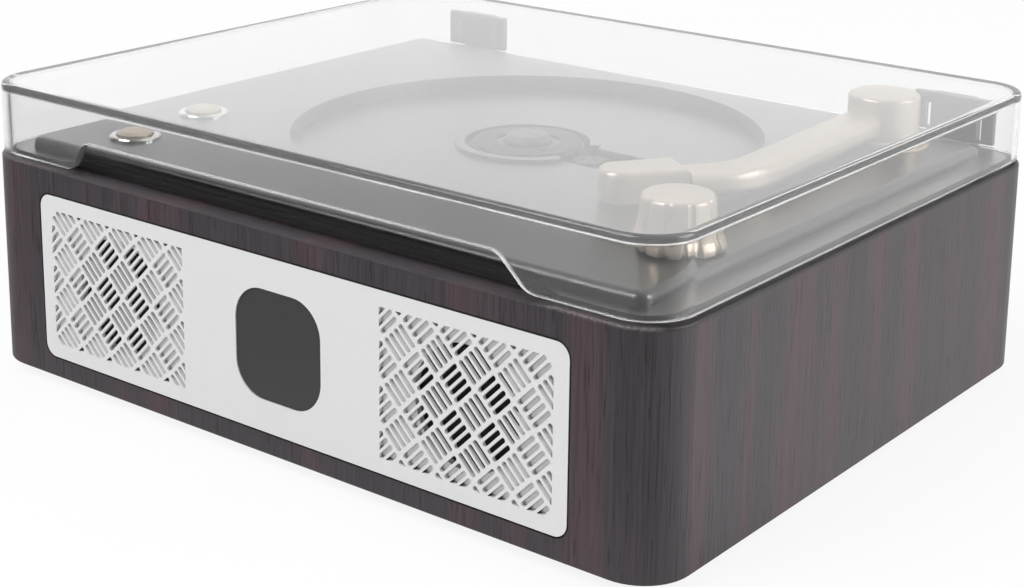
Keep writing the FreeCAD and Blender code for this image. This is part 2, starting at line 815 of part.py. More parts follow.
def deck():
    piece = Piece("deck")
    flange = piece.sketch("XY", rim)
    rounded(flange, f"-{flangeHalfX}", flangeHalfX, f"-{flangeFront}", flangeRear, "flangeCorner")
    piece.pad(flange, "flangeThick")
    cut = piece.sketch("XY", flangeTop)
    polygon(cut, [
        ("-scoopHalf - scoopSlope", f"-{flangeFront}"), ("scoopHalf + scoopSlope", f"-{flangeFront}"),
        ("scoopHalf", f"flangeCut - {flangeFront}"), ("-scoopHalf", f"flangeCut - {flangeFront}")])
    piece.pocket(cut, "flangeThick")
    raised = piece.sketch("XY", flangeTop)
    rounded(raised, f"-{plateauHalfX}", plateauHalfX, f"-{plateauFront}", plateauRear, "plateauCorner")
    piece.pad(raised, "plateauRise")
    piece.fillet("plateauEdge", lambda edge: level(edge, plateau))
    halfX = f"({cavityX} - deckFit)"
    halfY = f"({cavityY} - deckFit)"
    skirt = piece.sketch("XY", rim)
    rounded(skirt, f"-{halfX}", halfX, f"-{halfY}", halfY, f"{cavityCorner} - deckFit")
    piece.pad(skirt, "skirtDepth", back=True)
    hollow = piece.sketch("XY", f"{rim} - skirtDepth")
    rounded(hollow, f"deckWall - {plateauHalfX}", f"{plateauHalfX} - deckWall", f"deckWall - {halfY}",
            f"{plateauRear} - deckWall", "plateauCorner")
    piece.pocket(hollow, f"{deckUnder} - {rim} + skirtDepth", back=True)
    cup = piece.sketch("XY", wellUnder)
    circle(cup, "discX", "discY", "wellRadius + deckWall")
    piece.pad(cup, f"{deckUnder} - {wellUnder}")
    bosses = piece.sketch("XY", deckUnder)
    for sx in ("+", "-"):
        for sy in ("+", "-"):
            circle(bosses, f"discX {sx} damperX", f"discY {sy} damperY", "damperBoss")
    piece.pad(bosses, f"{deckUnder} - {chassisTop} - damperHeight", back=True)
    posts = piece.sketch("XY", deckUnder)
    for sx in ("+", "-"):
        circle(posts, f"{buttonX} {sx} buttonPostX", f"({buttonFrontY} + {buttonRearY}) / 2", "buttonPost")
    piece.pad(posts, f"{deckUnder} - {buttonBoardTop}", back=True)
    well = piece.sketch("XY", plateau)
    circle(well, "discX", "discY", "wellRadius")
    piece.pocket(well, "wellDepth")
    ring = piece.sketch("XY", wellFloor)
    circle(ring, "discX", "discY", "hubRing")
    piece.pad(ring, "hubRingRise")
    holes = piece.sketch("XY", plateau)
    circle(holes, armX, armY, "bushRadius + bushFit")
    circle(holes, knobX, knobY, "encoderNeck + encoderNeckFit")
    circle(holes, buttonX, buttonFrontY, "buttonRadius + buttonFit")
    circle(holes, buttonX, buttonRearY, "buttonRadius + buttonFit")
    circle(holes, "discX", "discY", "hubHole")
    piece.pocket(holes, "wellDepth + deckWall")
    slot = piece.sketch("XY", f"{wellFloor} + hubRingRise")
    rounded(slot, "discX + pickupSlotStart", "discX + pickupSlotEnd", "discY - pickupSlotHalf",
            "discY + pickupSlotHalf", "pickupSlotCorner")
    piece.pocket(slot, "hubRingRise + deckWall")


def mechanism():
    """Chassis, motors, hub, rods, sled and screw, drawn about the disc's axis."""
    chassis = Piece("mech_chassis")
    plate = chassis.sketch("XY", chassisUnder)
    rounded(plate, "-chassisLeft", "chassisRight", "-chassisHalfY", "chassisHalfY", "chassisCorner")
    rectangle(plate, "chassisWindowStart", "chassisWindowEnd", "-chassisWindowHalf", "chassisWindowHalf")
    circle(plate, "0", "0", "motorNeck + motorFit")
    for sx in ("", "-"):
        for sy in ("", "-"):
            circle(plate, f"{sx}damperX", f"{sy}damperY", "damperPin + motorFit")
    chassis.pad(plate, "chassisThick")
    posts = chassis.sketch("XY", chassisTop)
    for start in ("(rodStart - postLength / 4)", "(rodEnd - postLength * 3 / 4)"):
        for y in ("rodHalfY", "-rodHalfY"):
            rectangle(posts, start, f"{start} + postLength", f"{y} - postHalf", f"{y} + postHalf")
    start = "(rodStart - postLength / 4)"
    rectangle(posts, start, f"{start} + postLength", "-screwY - postHalf", "-screwY + postHalf")
    chassis.pad(posts, "postHeight")
    tab = chassis.sketch("XY", chassisTop)
    rectangle(tab, "chassisRight - tabThick", "chassisRight", "-screwY - tabHalf", "-screwY + tabHalf")
    chassis.pad(tab, "tabHeight")
    bores = chassis.sketch("YZ", "rodStart - postLength")
    circle(bores, "rodHalfY", rodLevel, "rodRadius + bushFit")
    circle(bores, "-rodHalfY", rodLevel, "rodRadius + bushFit")
    circle(bores, "-screwY", rodLevel, "screwRadius + rodFit")
    chassis.pocket(bores, "chassisLeft + chassisRight", back=True)
    chassis.place("discX", "discY")

    dampers = Piece("dampers")
    for low, rise, radius in ((chassisTop, "damperHeight", "damperRadius"),
                              (chassisUnder, "chassisThick", "damperPin"),
                              (f"{chassisUnder} - damperHeight", "damperHeight", "damperRadius")):
        rings = dampers.sketch("XY", low)
        for sx in ("", "-"):
            for sy in ("", "-"):
                circle(rings, f"{sx}damperX", f"{sy}damperY", radius)
        dampers.pad(rings, rise)
    dampers.place("discX", "discY")

    hole = "spindleRadius + spindleFit"
    low = f"({chassisUnder} - motorHeight)"
    turned("spindle_motor", [
        (hole, low), ("motorRadius", low), ("motorRadius", chassisUnder), ("motorNeck", chassisUnder),
        ("motorNeck", f"{chassisTop} + motorNeckRise"), (hole, f"{chassisTop} + motorNeckRise")],
        "discX", "discY")
    shaft_low = f"({chassisUnder} - spindleBelow)"
    turned("spindle_shaft", [("0", shaft_low), ("spindleRadius", shaft_low), ("spindleRadius", platformTop),
                             ("0", platformTop)], "discX", "discY")
    collar = f"({platformUnder} - hubCollarDepth + hubSlack)"
    rise = f"({platformTop} + centreRise)"
    turned("disc_hub", [
        ("spindleRadius", collar), ("hubCollar", collar), ("hubCollar", platformUnder),
        ("platformRadius", platformUnder), ("platformRadius", platformTop), ("centreRadius", platformTop),
        ("centreRadius", f"{rise} - centreTaper"), ("centreRadius - centreTaper", rise), ("0", rise),
        ("0", platformTop), ("spindleRadius", platformTop)], "discX", "discY")
    turned("disc_mat", [
        ("matInner", platformTop), ("matOuter", platformTop), ("matOuter", f"{platformTop} + matThick"),
        ("matInner", f"{platformTop} + matThick")], "discX", "discY")

    rods = Piece("guide_rods")
    ends = rods.sketch("YZ", "rodStart")
    circle(ends, "rodHalfY", rodLevel, "rodRadius")
    circle(ends, "-rodHalfY", rodLevel, "rodRadius")
    rods.pad(ends, "rodEnd - rodStart")
    rods.place("discX", "discY")

    sled = Piece("pickup_sled")
    plan = sled.sketch("XY", sledLow)
    rounded(plan, "lensStart - sledHalfX", "lensStart + sledHalfX", "-sledHalfY", "sledHalfY", "sledCorner")
    sled.pad(plan, "sledHeight")
    nut = sled.sketch("XY", f"{rodLevel} - nutThick / 2")
    rectangle(nut, "lensStart - nutHalfX", "lensStart + nutHalfX",
              "screwGap + screwRadius - screwY", "-sledHalfY")
    sled.pad(nut, "nutThick")
    laser = sled.sketch("XY", sledLow)
    rectangle(laser, "lensStart - laserHalfX", "lensStart + laserHalfX", "-laserHalfY", "laserHalfY")
    sled.pad(laser, "laserDepth", back=True)
    housing = sled.sketch("XY", sledTop)
    circle(housing, "lensStart", "0", "lensHousing")
    circle(housing, "lensStart", "0", "lensRadius + motorFit")
    sled.pad(housing, "lensRise")
    bores = sled.sketch("YZ", "rodStart")
    circle(bores, "rodHalfY", rodLevel, "rodRadius + rodFit")
    circle(bores, "-rodHalfY", rodLevel, "rodRadius + rodFit")
    sled.pocket(bores, "rodEnd", back=True)
    sled.place("discX", "discY")

    top = f"({sledTop} + lensRise)"
    turned("objective_lens", [("0", sledTop), ("lensRadius", sledTop), ("lensRadius", f"{top} - lensDome"),
                              ("lensRadius / 2", top), ("0", top)],
           "discX + lensStart", "discY")

    screw = Piece("feed_screw")
    end = screw.sketch("YZ", "rodStart - postLength / 4")
    circle(end, "-screwY", rodLevel, "screwRadius")
    screw.pad(end, "chassisRight + screwInMotor - rodStart + postLength / 4")
    screw.place("discX", "discY")
    motor = Piece("feed_motor")
    end = motor.sketch("YZ", "chassisRight")
    circle(end, "-screwY", rodLevel, "feedMotorRadius")
    motor.pad(end, "feedMotorLength")
    bore = motor.sketch("YZ", "chassisRight")
    circle(bore, "-screwY", rodLevel, "screwRadius + rodFit")
    motor.pocket(bore, "screwInMotor + screwGap", back=True)
    motor.place("discX", "discY")


def main_board():
    piece = Piece("main_board")
    plan = piece.sketch("XY", boardLow)
    rectangle(plan, "-boardHalfX", "boardHalfX", "boardFront", "boardRear")
    piece.pad(plan, "boardThick")
    middle = "((boardFront + boardRear) / 2)"
    chips = piece.sketch("XY", f"{boardLow} + boardThick")
    for side in ("-", ""):
        rectangle(chips, f"{side}chipX - chipHalf", f"{side}chipX + chipHalf", f"{middle} - chipHalf",
                  f"{middle} + chipHalf")
    piece.pad(chips, "chipThick")
    cans = piece.sketch("XY", f"{boardLow} + boardThick")
    for i in range(2):
        circle(cans, "boardHalfX - boardPostInset - canPitch", f"{middle} + ({i} - 1 / 2) * canPitch",
               "canRadius")
    piece.pad(cans, "canHeight")


def rear_jacks():
    plate = Piece("jack_plate")
    face = plate.sketch("XZ", f"-{jackFace}")
    rounded(face, "-jackPlateWidth / 2", "jackPlateWidth / 2", f"{jackMid} - jackPlateHeight / 2",
            f"{jackMid} + jackPlateHeight / 2", "jackPlateCorner")
    circle(face, "jackSpread", jackMid, "inletNose + noseFit")
    circle(face, "0", jackMid, "audioNose + noseFit")
    half = "(sliderHalfX + sliderFit + sliderTravel / 2)"
    tall = "(sliderHalfZ + sliderFit)"
    rectangle(face, f"-jackSpread - {half}", f"-jackSpread + {half}",
              f"{jackMid} - {tall}", f"{jackMid} + {tall}")
    plate.pad(face, "jackPlateThick")

    def jack(label, x, half_width, nose, bore, bore_depth):
        piece = Piece(label)
        block = piece.sketch("XZ", f"-{jackBack}")
        rectangle(block, f"{x} - {half_width}", f"{x} + {half_width}", f"{jackMid} - {half_width}",
                  f"{jackMid} + {half_width}")
        piece.pad(block, "jackDepth")
        front = piece.sketch("XZ", f"-{jackBack}")
        circle(front, x, jackMid, nose)
        piece.pad(front, "jackPlateThick", back=True)
        hole = piece.sketch("XZ", f"-{jackFace}")
        circle(hole, x, jackMid, bore)
        piece.pocket(hole, bore_depth, back=True)
        return piece
    inlet = jack("dc_inlet", "jackSpread", "inletHalf", "inletNose", "inletBore", "inletBoreDepth")
    tip = inlet.sketch("XZ", f"inletBoreDepth - {jackFace}")
    circle(tip, "jackSpread", jackMid, "inletPin")
    inlet.pad(tip, "inletBoreDepth - inletPinShort", back=True)
    jack("audio_jack", "0", "audioHalf", "audioNose", "audioBore", "audioBoreDepth")

    body = Piece("switch_body")
    block = body.sketch("XZ", f"-{jackBack}")
    rectangle(block, "-jackSpread - switchHalfX", "-jackSpread + switchHalfX", f"{jackMid} - switchHalfZ",
              f"{jackMid} + switchHalfZ")
    body.pad(block, "switchDepth")
    slider = Piece("power_slider")
    middle = "(-jackSpread - sliderTravel / 2)"
    tab = slider.sketch("XZ", f"-{jackBack} - sliderFit")
    rectangle(tab, f"{middle} - sliderHalfX", f"{middle} + sliderHalfX", f"{jackMid} - sliderHalfZ",
              f"{jackMid} + sliderHalfZ")
    slider.pad(tab, "jackPlateThick + sliderProud - sliderFit", back=True)


def tonearm():
    turned("arm_base", [
        ("bushRadius + bushFit", plateau), ("armBaseRadius", plateau),
        ("armBaseRadius", f"{bushTop} - armBaseEdge"), ("armBaseRadius - armBaseEdge", bushTop),
        ("bushRadius + bushFit", bushTop)], armX, armY)
    turned("arm_bush", [
        ("shaftRadius + shaftFit", f"{plateau} - bushDepth"), ("bushRadius", f"{plateau} - bushDepth"),
        ("bushRadius", bushTop), ("shaftRadius + shaftFit", bushTop)], armX, armY)
    clip = f"({plateau} - bushDepth - shaftClipGap)"
    turned("arm_shaft", [
        ("0", f"{clip} - shaftClipThick"), ("shaftClip", f"{clip} - shaftClipThick"), ("shaftClip", clip),
        ("shaftRadius", clip), ("shaftRadius", f"{bushTop} + shaftRise"), ("0", f"{bushTop} + shaftRise")],
        armX, armY)
    top = f"({plateau} + postTop)"
    low = f"({bushTop} + postGap)"
    hole = "shaftRadius + bushFit"
    post = turned("arm_post", [
        (hole, low), ("postRadius", low), ("postRadius", top), ("0", top), ("0", f"{bushTop} + shaftRise"),
        (hole, f"{bushTop} + shaftRise")], armX, armY)
    post.fillet("postEdge", lambda edge: level(edge, top) and edge.BoundBox.XLength > value("postRadius"))

    arm = Piece("tonearm")
    level_mid = f"({plateau} + armLow + armThick / 2)"
    path = arm.sketch("XY", level_mid)
    slant = "(headAngle * 1 deg)"
    end_x = f"{headX} + headShift * cos{slant} - headGap * sin{slant}"
    end_y = f"{headY} + headShift * sin{slant} + headGap * cos{slant}"
    root = point(armRootX, armRootY)
    bend = point(armBendX, armBendY)
    tip = point(end_x, end_y)
    radius = value("armBendRadius")
    ahead = (bend - root).normalize()
    heart = bend + FreeCAD.Vector(ahead.y, -ahead.x, 0) * radius
    reach = tip - heart
    turn_in = math.atan2(reach.y, reach.x) + math.acos(radius / reach.Length)
    start = heart + FreeCAD.Vector(math.cos(turn_in), math.sin(turn_in), 0) * radius
    turn_out = math.atan2(bend.y - heart.y, bend.x - heart.x)
    straight = path.addGeometry(Part.LineSegment(root, bend))
    whole = Part.Circle(heart, FreeCAD.Vector(0, 0, 1), radius)
    arc = path.addGeometry(Part.ArcOfCircle(whole, turn_in, turn_out))
    neck = path.addGeometry(Part.LineSegment(start, tip))
    path.addConstraint(Sketcher.Constraint("Tangent", straight, 2, arc, 2))
    path.addConstraint(Sketcher.Constraint("Tangent", arc, 1, neck, 1))
    pin(path, straight, 1, armRootX, armRootY)
    pin(path, straight, 2, armBendX, armBendY)
    pin(path, neck, 2, end_x, end_y)
    tie(path, "Radius", (arc,), "armBendRadius")
    section = arm.sketch("XZ", f"-{armRootY}")
    rounded(section, f"{armRootX} - armWidth / 2", f"{armRootX} + armWidth / 2", f"{plateau} + armLow",
            f"{plateau} + armLow + armThick", "armEdge")
    pipe = arm.body.newObject("PartDesign::AdditivePipe", "tonearm_pipe")
    pipe.Profile = section
    pipe.Spine = (path, ["Edge1", "Edge2", "Edge3"])
    seat = arm.sketch("XY", level_mid)
    circle(seat, armX, armY, "postRadius + armSeat")
    arm.through(seat, "2 * armThick")

    head = Piece("headshell")
    plan = head.sketch("XY", f"{plateau} + headLow")
    rectangle(plan, "-headHalf", "headHalf", "-headLength", "0")
    head.pad(plan, "headThick")
    head.fillet("headNose", lambda edge: upright(edge) and edge.BoundBox.YMax < -near)
    head.fillet("headEdge", lambda edge: level(edge, f"{plateau} + headLow + headThick"))
    head.body.Placement.Rotation = FreeCAD.Rotation(FreeCAD.Vector(0, 0, 1), value("headAngle"))
    head.body.setExpression("Placement.Rotation.Angle", named(slant))
    head.place(headX, headY)


def volume_knob():
    low = f"({plateau} + knobGap)"
    top = f"({plateau} + knobTop)"
    shaft_top = f"({plateau} + encoderShaftRise)"
    hole = "encoderShaft + bushFit"
    flare = f"({plateau} + knobFlareRise)"
    waist = f"({plateau} + knobWaistRise)"
    knob = turned("volume_knob", [
        (hole, low), ("knobFoot", low), ("knobFlare", flare), ("knobWaist", waist), ("knobTopRadius", top),
        ("0", top), ("0", shaft_top), (hole, shaft_top)], knobX, knobY)
    knob.fillet("knobEdge", lambda edge: level(edge, top) and edge.BoundBox.XLength > value("knobTopRadius"))
    knob.fillet("knobFlareRound", lambda edge: level(edge, flare))
    knob.fillet("knobWaistRound", lambda edge: level(edge, waist))
    end = f"({plateau} + fluteTop)"
    taper = "(knobWaist - knobTopRadius) / (knobTop - knobWaistRise)"
    end_radius = f"knobTopRadius + {taper} * (knobTop - fluteTop)"
    outside = "knobFlare + fluteDepth"
    flute = knob.sketch("XZ", "0")
    polygon(flute, [
        ("knobFoot - fluteDepth", low), ("knobFlare - fluteDepth", flare), ("knobWaist - fluteDepth", waist),
        (f"{end_radius} - fluteDepth", end), (outside, end), (outside, low)])
    knob.ring(knob.through(flute, "fluteWidth"), "fluteCount")

    body = Piece("encoder")
    can = body.sketch("XY", deckUnder)
    rectangle(can, "-encoderHalf", "encoderHalf", "-encoderHalf", "encoderHalf")
    body.pad(can, "encoderHeight", back=True)
    neck = body.sketch("XY", deckUnder)
    circle(neck, "0", "0", "encoderNeck")
    body.pad(neck, "deckWall - encoderNeckShort")
    bore = body.sketch("XY", plateau)
    circle(bore, "0", "0", "encoderShaft + encoderFit")
    body.pocket(bore, "deckWall + encoderShaftSunk")
    body.place(knobX, knobY)
    shaft_low = f"({deckUnder} - encoderShaftSunk + encoderFit)"
    turned("encoder_shaft", [("0", shaft_low), ("encoderShaft", shaft_low), ("encoderShaft", shaft_top),
                             ("0", shaft_top)], knobX, knobY)


def push_buttons():
    shoulder = f"({plateau} + buttonRise)"
    stem_low = f"({lipLow} - buttonStemLength)"
    for label, y in (("button_front", buttonFrontY), ("button_rear", buttonRearY)):
        turned(label, [
            ("0", stem_low), ("buttonStem", stem_low), ("buttonStem", lipLow),
            ("buttonRadius + buttonLip", lipLow), ("buttonRadius + buttonLip", lipTop),
            ("buttonRadius", lipTop),
            ("buttonRadius", shoulder), ("buttonRadius * 3 / 4", f"{shoulder} + buttonDome * 2 / 3"),
            ("0", f"{shoulder} + buttonDome")], buttonX, y)
    rings = Piece("button_rings")
    plan = rings.sketch("XY", plateau)
    for y in (buttonFrontY, buttonRearY):
        circle(plan, buttonX, y, "buttonRing")
        circle(plan, buttonX, y, "buttonRadius + buttonFit")
    rings.pad(plan, "buttonRingRise")
    rise = f"{plateau} + buttonRingRise"
    rings.chamfer("buttonRingEdge",
                  lambda edge: level(edge, rise) and edge.BoundBox.XLength > 2 * value("buttonRing") - near)
    board = Piece("button_board")
    plan = board.sketch("XY", buttonBoardTop)
    rectangle(plan, f"{buttonX} - buttonBoardHalfX", f"{buttonX} + buttonBoardHalfX",
              f"{buttonFrontY} - buttonBoardEnd", f"{buttonRearY} + buttonBoardEnd")
    board.pad(plan, "boardThick", back=True)
    tact = board.sketch("XY", buttonBoardTop)
    for y in (buttonFrontY, buttonRearY):
        rectangle(tact, f"{buttonX} - tactHalf", f"{buttonX} + tactHalf",
                  f"{y} - tactHalf", f"{y} + tactHalf")
    board.pad(tact, "tactHeight")


def dust_cover():
    lid = Piece("dust_cover")
    plan = lid.sketch("XY", lidBase)
    rounded(plan, f"-{lidHalfX}", lidHalfX, f"-{lidHalfY}", lidHalfY, "lidCorner")
    lid.pad(plan, "lidHeight")
    lid.fillet("lidEdge", lambda edge: level(edge, lidTop))
    inside = lid.sketch("XY", lidBase)
    halfX = f"({lidHalfX} - lidWall)"
    halfY = f"({lidHalfY} - lidWall)"
    rounded(inside, f"-{halfX}", halfX, f"-{halfY}", halfY, "lidCorner - lidWall")
    lid.pocket(inside, "lidHeight - lidWall", back=True)
    notch = lid.sketch("XZ", lidHalfY)
    notch_top = f"({lidBase} + notchHeight)"
    polygon(notch, [("-notchBottom", lidBase), ("notchBottom", lidBase), ("notchTop", notch_top),
                    ("-notchTop", notch_top)])
    lid.pocket(notch, "2 * lidWall")

    def notch_corner(edge):
        box = edge.BoundBox
        ends = (value("notchBottom"), value("notchTop"))
        crossing = box.XLength < near and box.ZLength < near and box.YMax < 0
        return crossing and min(abs(abs(box.XMin) - end) for end in ends) < near
    lid.fillet("notchRound", notch_corner)


def hinge(side, sign):
    """One lid hinge behind the cabinet, drawn about its own middle and moved sideways to its place."""
    bracket = Piece(f"hinge_bracket_{side}")
    back = "cabinetDepth / 2"
    bottom = f"{hingeZ} - bracketHeight"
    plate = bracket.sketch("XZ", f"-{back}")
    rectangle(plate, "-hingeHalf", "hingeHalf", bottom, f"{hingeZ} - knuckleRadius - bracketGap")
    bracket.pad(plate, "bracketThick", back=True)
    for start in ("-hingeHalf", "knuckleHalf + knuckleGap"):
        strip = bracket.sketch("YZ", start)
        rectangle(strip, back, f"{back} + bracketThick", bottom, hingeZ)
        bracket.pad(strip, "hingeHalf - knuckleHalf - knuckleGap")
        ear = bracket.sketch("YZ", start)
        rectangle(ear, back, hingeY, f"{hingeZ} - knuckleRadius", f"{hingeZ} + knuckleRadius")
        bracket.pad(ear, "hingeHalf - knuckleHalf - knuckleGap")
        eye = bracket.sketch("YZ", start)
        circle(eye, hingeY, hingeZ, "knuckleRadius")
        bracket.pad(eye, "hingeHalf - knuckleHalf - knuckleGap")
    bore = bracket.sketch("YZ", "0")
    circle(bore, hingeY, hingeZ, "pinRadius + earFit")
    bracket.through(bore, "4 * hingeHalf")

    pivot = Piece(f"hinge_pin_{side}")
    end = pivot.sketch("YZ", "-hingeHalf")
    circle(end, hingeY, hingeZ, "pinRadius")
    pivot.pad(end, "2 * hingeHalf")

    leaf = Piece(f"hinge_leaf_{side}")
    plate = leaf.sketch("XZ", f"-{lidHalfY}")
    rectangle(plate, "-hingeHalf", "hingeHalf", f"{lidBase} + leafLift", f"{lidBase} + leafTop")
    for x in ("-leafBlock - leafSlit", "leafBlock"):
        rectangle(plate, x, f"{x} + leafSlit", f"{lidBase} + leafSlitStart", f"{lidBase} + leafSlitTop")
    leaf.pad(plate, "leafThick", back=True)
    block = leaf.sketch("XZ", f"-{lidHalfY} - leafThick")
    rectangle(block, "-leafBlock", "leafBlock", hingeZ, f"{lidBase} + leafTop")
    leaf.pad(block, "leafBlockThick", back=True)
    knuckle = leaf.sketch("YZ", "-knuckleHalf")
    circle(knuckle, hingeY, hingeZ, "knuckleRadius")
    leaf.pad(knuckle, "2 * knuckleHalf")
    bore = leaf.sketch("YZ", "0")
    circle(bore, hingeY, hingeZ, "pinRadius + pinFit")
    leaf.through(bore, "4 * hingeHalf")
    for piece in (bracket, pivot, leaf):
        piece.place(f"{sign}hingeX", "0")


cabinet()
corner_blocks()
bottom_cover()
feet()
front_panel()
display()
for side, sign in (("left", "-"), ("right", "")):
    speaker(side, sign)
deck()
mechanism()
main_board()
rear_jacks()
tonearm()
volume_knob()
push_buttons()
dust_cover()
for side, sign in (("left", "-"), ("right", "")):
    hinge(side, sign)

doc.recompute()
for thing in doc.Objects:
    if "Invalid" in thing.State or "Error" in thing.State:
        raise RuntimeError(f"{thing.Label} failed: {thing.State}")
for label, node in nodes.items():
    if node.Shape.isNull() or not node.Shape.isValid() or node.Shape.Volume <= 0:
        raise RuntimeError(f"{label} has no valid solid")
os.makedirs("parts", exist_ok=True)
# The hinges stand out behind the cabinet, so the whole player moves forward to be centred on the origin
middle = FreeCAD.Vector(0, -value(f"{rearReach} / 2"), 0)
for label, node in nodes.items():
    shape = node.Shape.copy()
    shape.translate(middle)
    shape.exportStep(f"parts/{label}.step")
print(len(nodes), "parts written")
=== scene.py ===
import json
import math
import bpy
import numpy as np
from mathutils import Matrix, Vector


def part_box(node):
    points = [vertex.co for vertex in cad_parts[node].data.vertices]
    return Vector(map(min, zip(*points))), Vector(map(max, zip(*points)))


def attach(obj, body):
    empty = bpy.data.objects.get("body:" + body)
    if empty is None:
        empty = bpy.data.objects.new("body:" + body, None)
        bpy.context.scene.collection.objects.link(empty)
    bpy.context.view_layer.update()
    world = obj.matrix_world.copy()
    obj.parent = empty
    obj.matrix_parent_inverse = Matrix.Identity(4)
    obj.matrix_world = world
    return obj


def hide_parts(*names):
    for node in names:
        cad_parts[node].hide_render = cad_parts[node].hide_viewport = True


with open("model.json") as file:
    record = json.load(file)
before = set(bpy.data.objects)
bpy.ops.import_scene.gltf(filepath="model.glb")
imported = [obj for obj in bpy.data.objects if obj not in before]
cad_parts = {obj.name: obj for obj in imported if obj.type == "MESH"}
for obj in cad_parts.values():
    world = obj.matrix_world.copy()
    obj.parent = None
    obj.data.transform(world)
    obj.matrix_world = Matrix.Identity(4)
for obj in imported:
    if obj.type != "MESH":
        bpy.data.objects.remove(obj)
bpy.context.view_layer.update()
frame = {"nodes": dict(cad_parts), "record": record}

nodes = frame["nodes"]
mm = 0.001
print("frame loaded:", len(nodes), "nodes")


# camera, fitted to the cabinet's edges in the photograph
view = {
    "place": (0.35091, -0.44795, 0.2233),
    "azimuth": 37.336,
    "drop": 13.659,
    "roll": 0.880,
    "focal": 1955.9,           # in pixels, as are centre and frame
    "centre": (542.7, 95.6),
    "frame": (1024, 587),
    "sensor": 36.0,
    "clip": (0.01, 50.0),
}


def addCamera(spec):
    # forward from azimuth and drop, then right and up turned by the roll about forward
    azimuth, drop, roll = (math.radians(spec[key]) for key in ("azimuth", "drop", "roll"))
    level = math.cos(drop)
    forward = Vector((-math.sin(azimuth) * level, math.cos(azimuth) * level, -math.sin(drop)))
    flatRight = forward.cross(Vector((0, 0, 1))).normalized()
    flatUp = flatRight.cross(forward)
    right = flatRight * math.cos(roll) + flatUp * math.sin(roll)
    up = flatUp * math.cos(roll) - flatRight * math.sin(roll)
    wide, high = spec["frame"]
    lens = bpy.data.cameras.new("photoCamera")
    lens.sensor_width = spec["sensor"]
    lens.lens = spec["focal"] / wide * spec["sensor"]
    lens.shift_x = (wide / 2 - spec["centre"][0]) / wide
    lens.shift_y = (spec["centre"][1] - high / 2) / wide
    lens.clip_start, lens.clip_end = spec["clip"]
    camera = bpy.data.objects.new("photoCamera", lens)
    bpy.context.scene.collection.objects.link(camera)
    turn = Matrix((right, up, -forward)).transposed().to_4x4()
    camera.matrix_world = Matrix.Translation(spec["place"]) @ turn
    bpy.context.scene.camera = camera
    return camera


print("camera:", addCamera(view).name)


# small helpers for node trees
def emptyTree(owner):
    owner.use_nodes = True
    owner.node_tree.nodes.clear()
    return owner.node_tree


def setSocket(tree, socket, val):
    # another node's output is linked, anything else is the socket's own value
    if hasattr(val, "is_output"):
        tree.links.new(val, socket)
    else:
        socket.default_value = val


def addNode(tree, kind, inputs=None, **settings):
    made = tree.nodes.new(kind)
    for key, val in settings.items():
        setattr(made, key, val)
    for key, val in (inputs or {}).items():
        setSocket(tree, made.inputs[key], val)
    return made


def newMaterial(name, **sockets):
    # one shader on the output, its constant sockets set
    mat = bpy.data.materials.new(name)
    tree = emptyTree(mat)
    shader = addNode(tree, "ShaderNodeBsdfPrincipled", sockets)
    addNode(tree, "ShaderNodeOutputMaterial", {"Surface": shader.outputs["BSDF"]})
    return mat, tree, shader


def feed(tree, shader, patterns):
    for key, output in patterns.items():
        tree.links.new(output, shader.inputs[key])


def objectPoint(tree):
    return addNode(tree, "ShaderNodeTexCoord").outputs["Object"]


def axisValue(tree, point, axis):
    return addNode(tree, "ShaderNodeSeparateXYZ", {"Vector": point}).outputs[axis]


def noise(tree, scale, detail, rough, stretch=(1, 1, 1), turn=(0, 0, 0)):
    # noise on object coordinates through a mapping, so it has its own scale on each axis
    spot = addNode(tree, "ShaderNodeMapping", {"Vector": objectPoint(tree), "Scale": stretch,
                                               "Rotation": turn})
    made = addNode(tree, "ShaderNodeTexNoise", {"Vector": spot.outputs["Vector"], "Scale": scale,
                                                "Detail": detail, "Roughness": rough})
    return made.outputs["Fac"]


def ramp(tree, fac, stops):
    made = addNode(tree, "ShaderNodeValToRGB", {"Fac": fac})
    band = made.color_ramp
    while len(band.elements) < len(stops):
        band.elements.new(0.5)
    for element, (at, colour) in zip(band.elements, stops):
        element.position = at
        element.color = (*colour, 1.0)
    return made.outputs["Color"]


def spread(tree, fac, low, high):
    # a 0 to 1 value spread over a range
    made = addNode(tree, "ShaderNodeMapRange", {"Value": fac, "To Min": low, "To Max": high})
    return made.outputs["Result"]


def limit(tree, fac, low, high):
    # 0 at low and 1 at high, held outside that range; low may be the larger one
    made = addNode(tree, "ShaderNodeMapRange", {"Value": fac, "From Min": low, "From Max": high},
                   interpolation_type="SMOOTHSTEP")
    return made.outputs["Result"]


def multiply(tree, one, two):
    return addNode(tree, "ShaderNodeMath", {0: one, 1: two}, operation="MULTIPLY").outputs[0]


def larger(tree, one, two):
    return addNode(tree, "ShaderNodeMath", {0: one, 1: two}, operation="MAXIMUM").outputs[0]


def vectorStep(tree, operation, one, two=(0, 0, 0)):
    return addNode(tree, "ShaderNodeVectorMath", {0: one, 1: two}, operation=operation).outputs[0]


def mixColour(tree, fac, one, two, mode="MIX"):
    # in a colour mix, sockets 0, 6 and 7 are the factor and the two colours, output 2 the result
    made = addNode(tree, "ShaderNodeMix", data_type="RGBA", blend_type=mode)
    for place, val in ((0, fac), (6, one), (7, two)):
        setSocket(tree, made.inputs[place], (*val, 1.0) if isinstance(val, tuple) else val)
    return made.outputs[2]


def bump(tree, height, strength, distance, under=None, sunk=False):
    # raised or sunk by the height, over the normal of another bump where one is given
    inputs = {"Height": height, "Strength": strength, "Distance": distance}
    if under is not None:
        inputs["Normal"] = under
    return addNode(tree, "ShaderNodeBump", inputs, invert=sunk).outputs["Normal"]


# dust on wood and lid
dust = {
    "dot": (0.035, 0.02),      # distance to a cell's point, from bare to covered
    "pickEdge": 0.02,
}


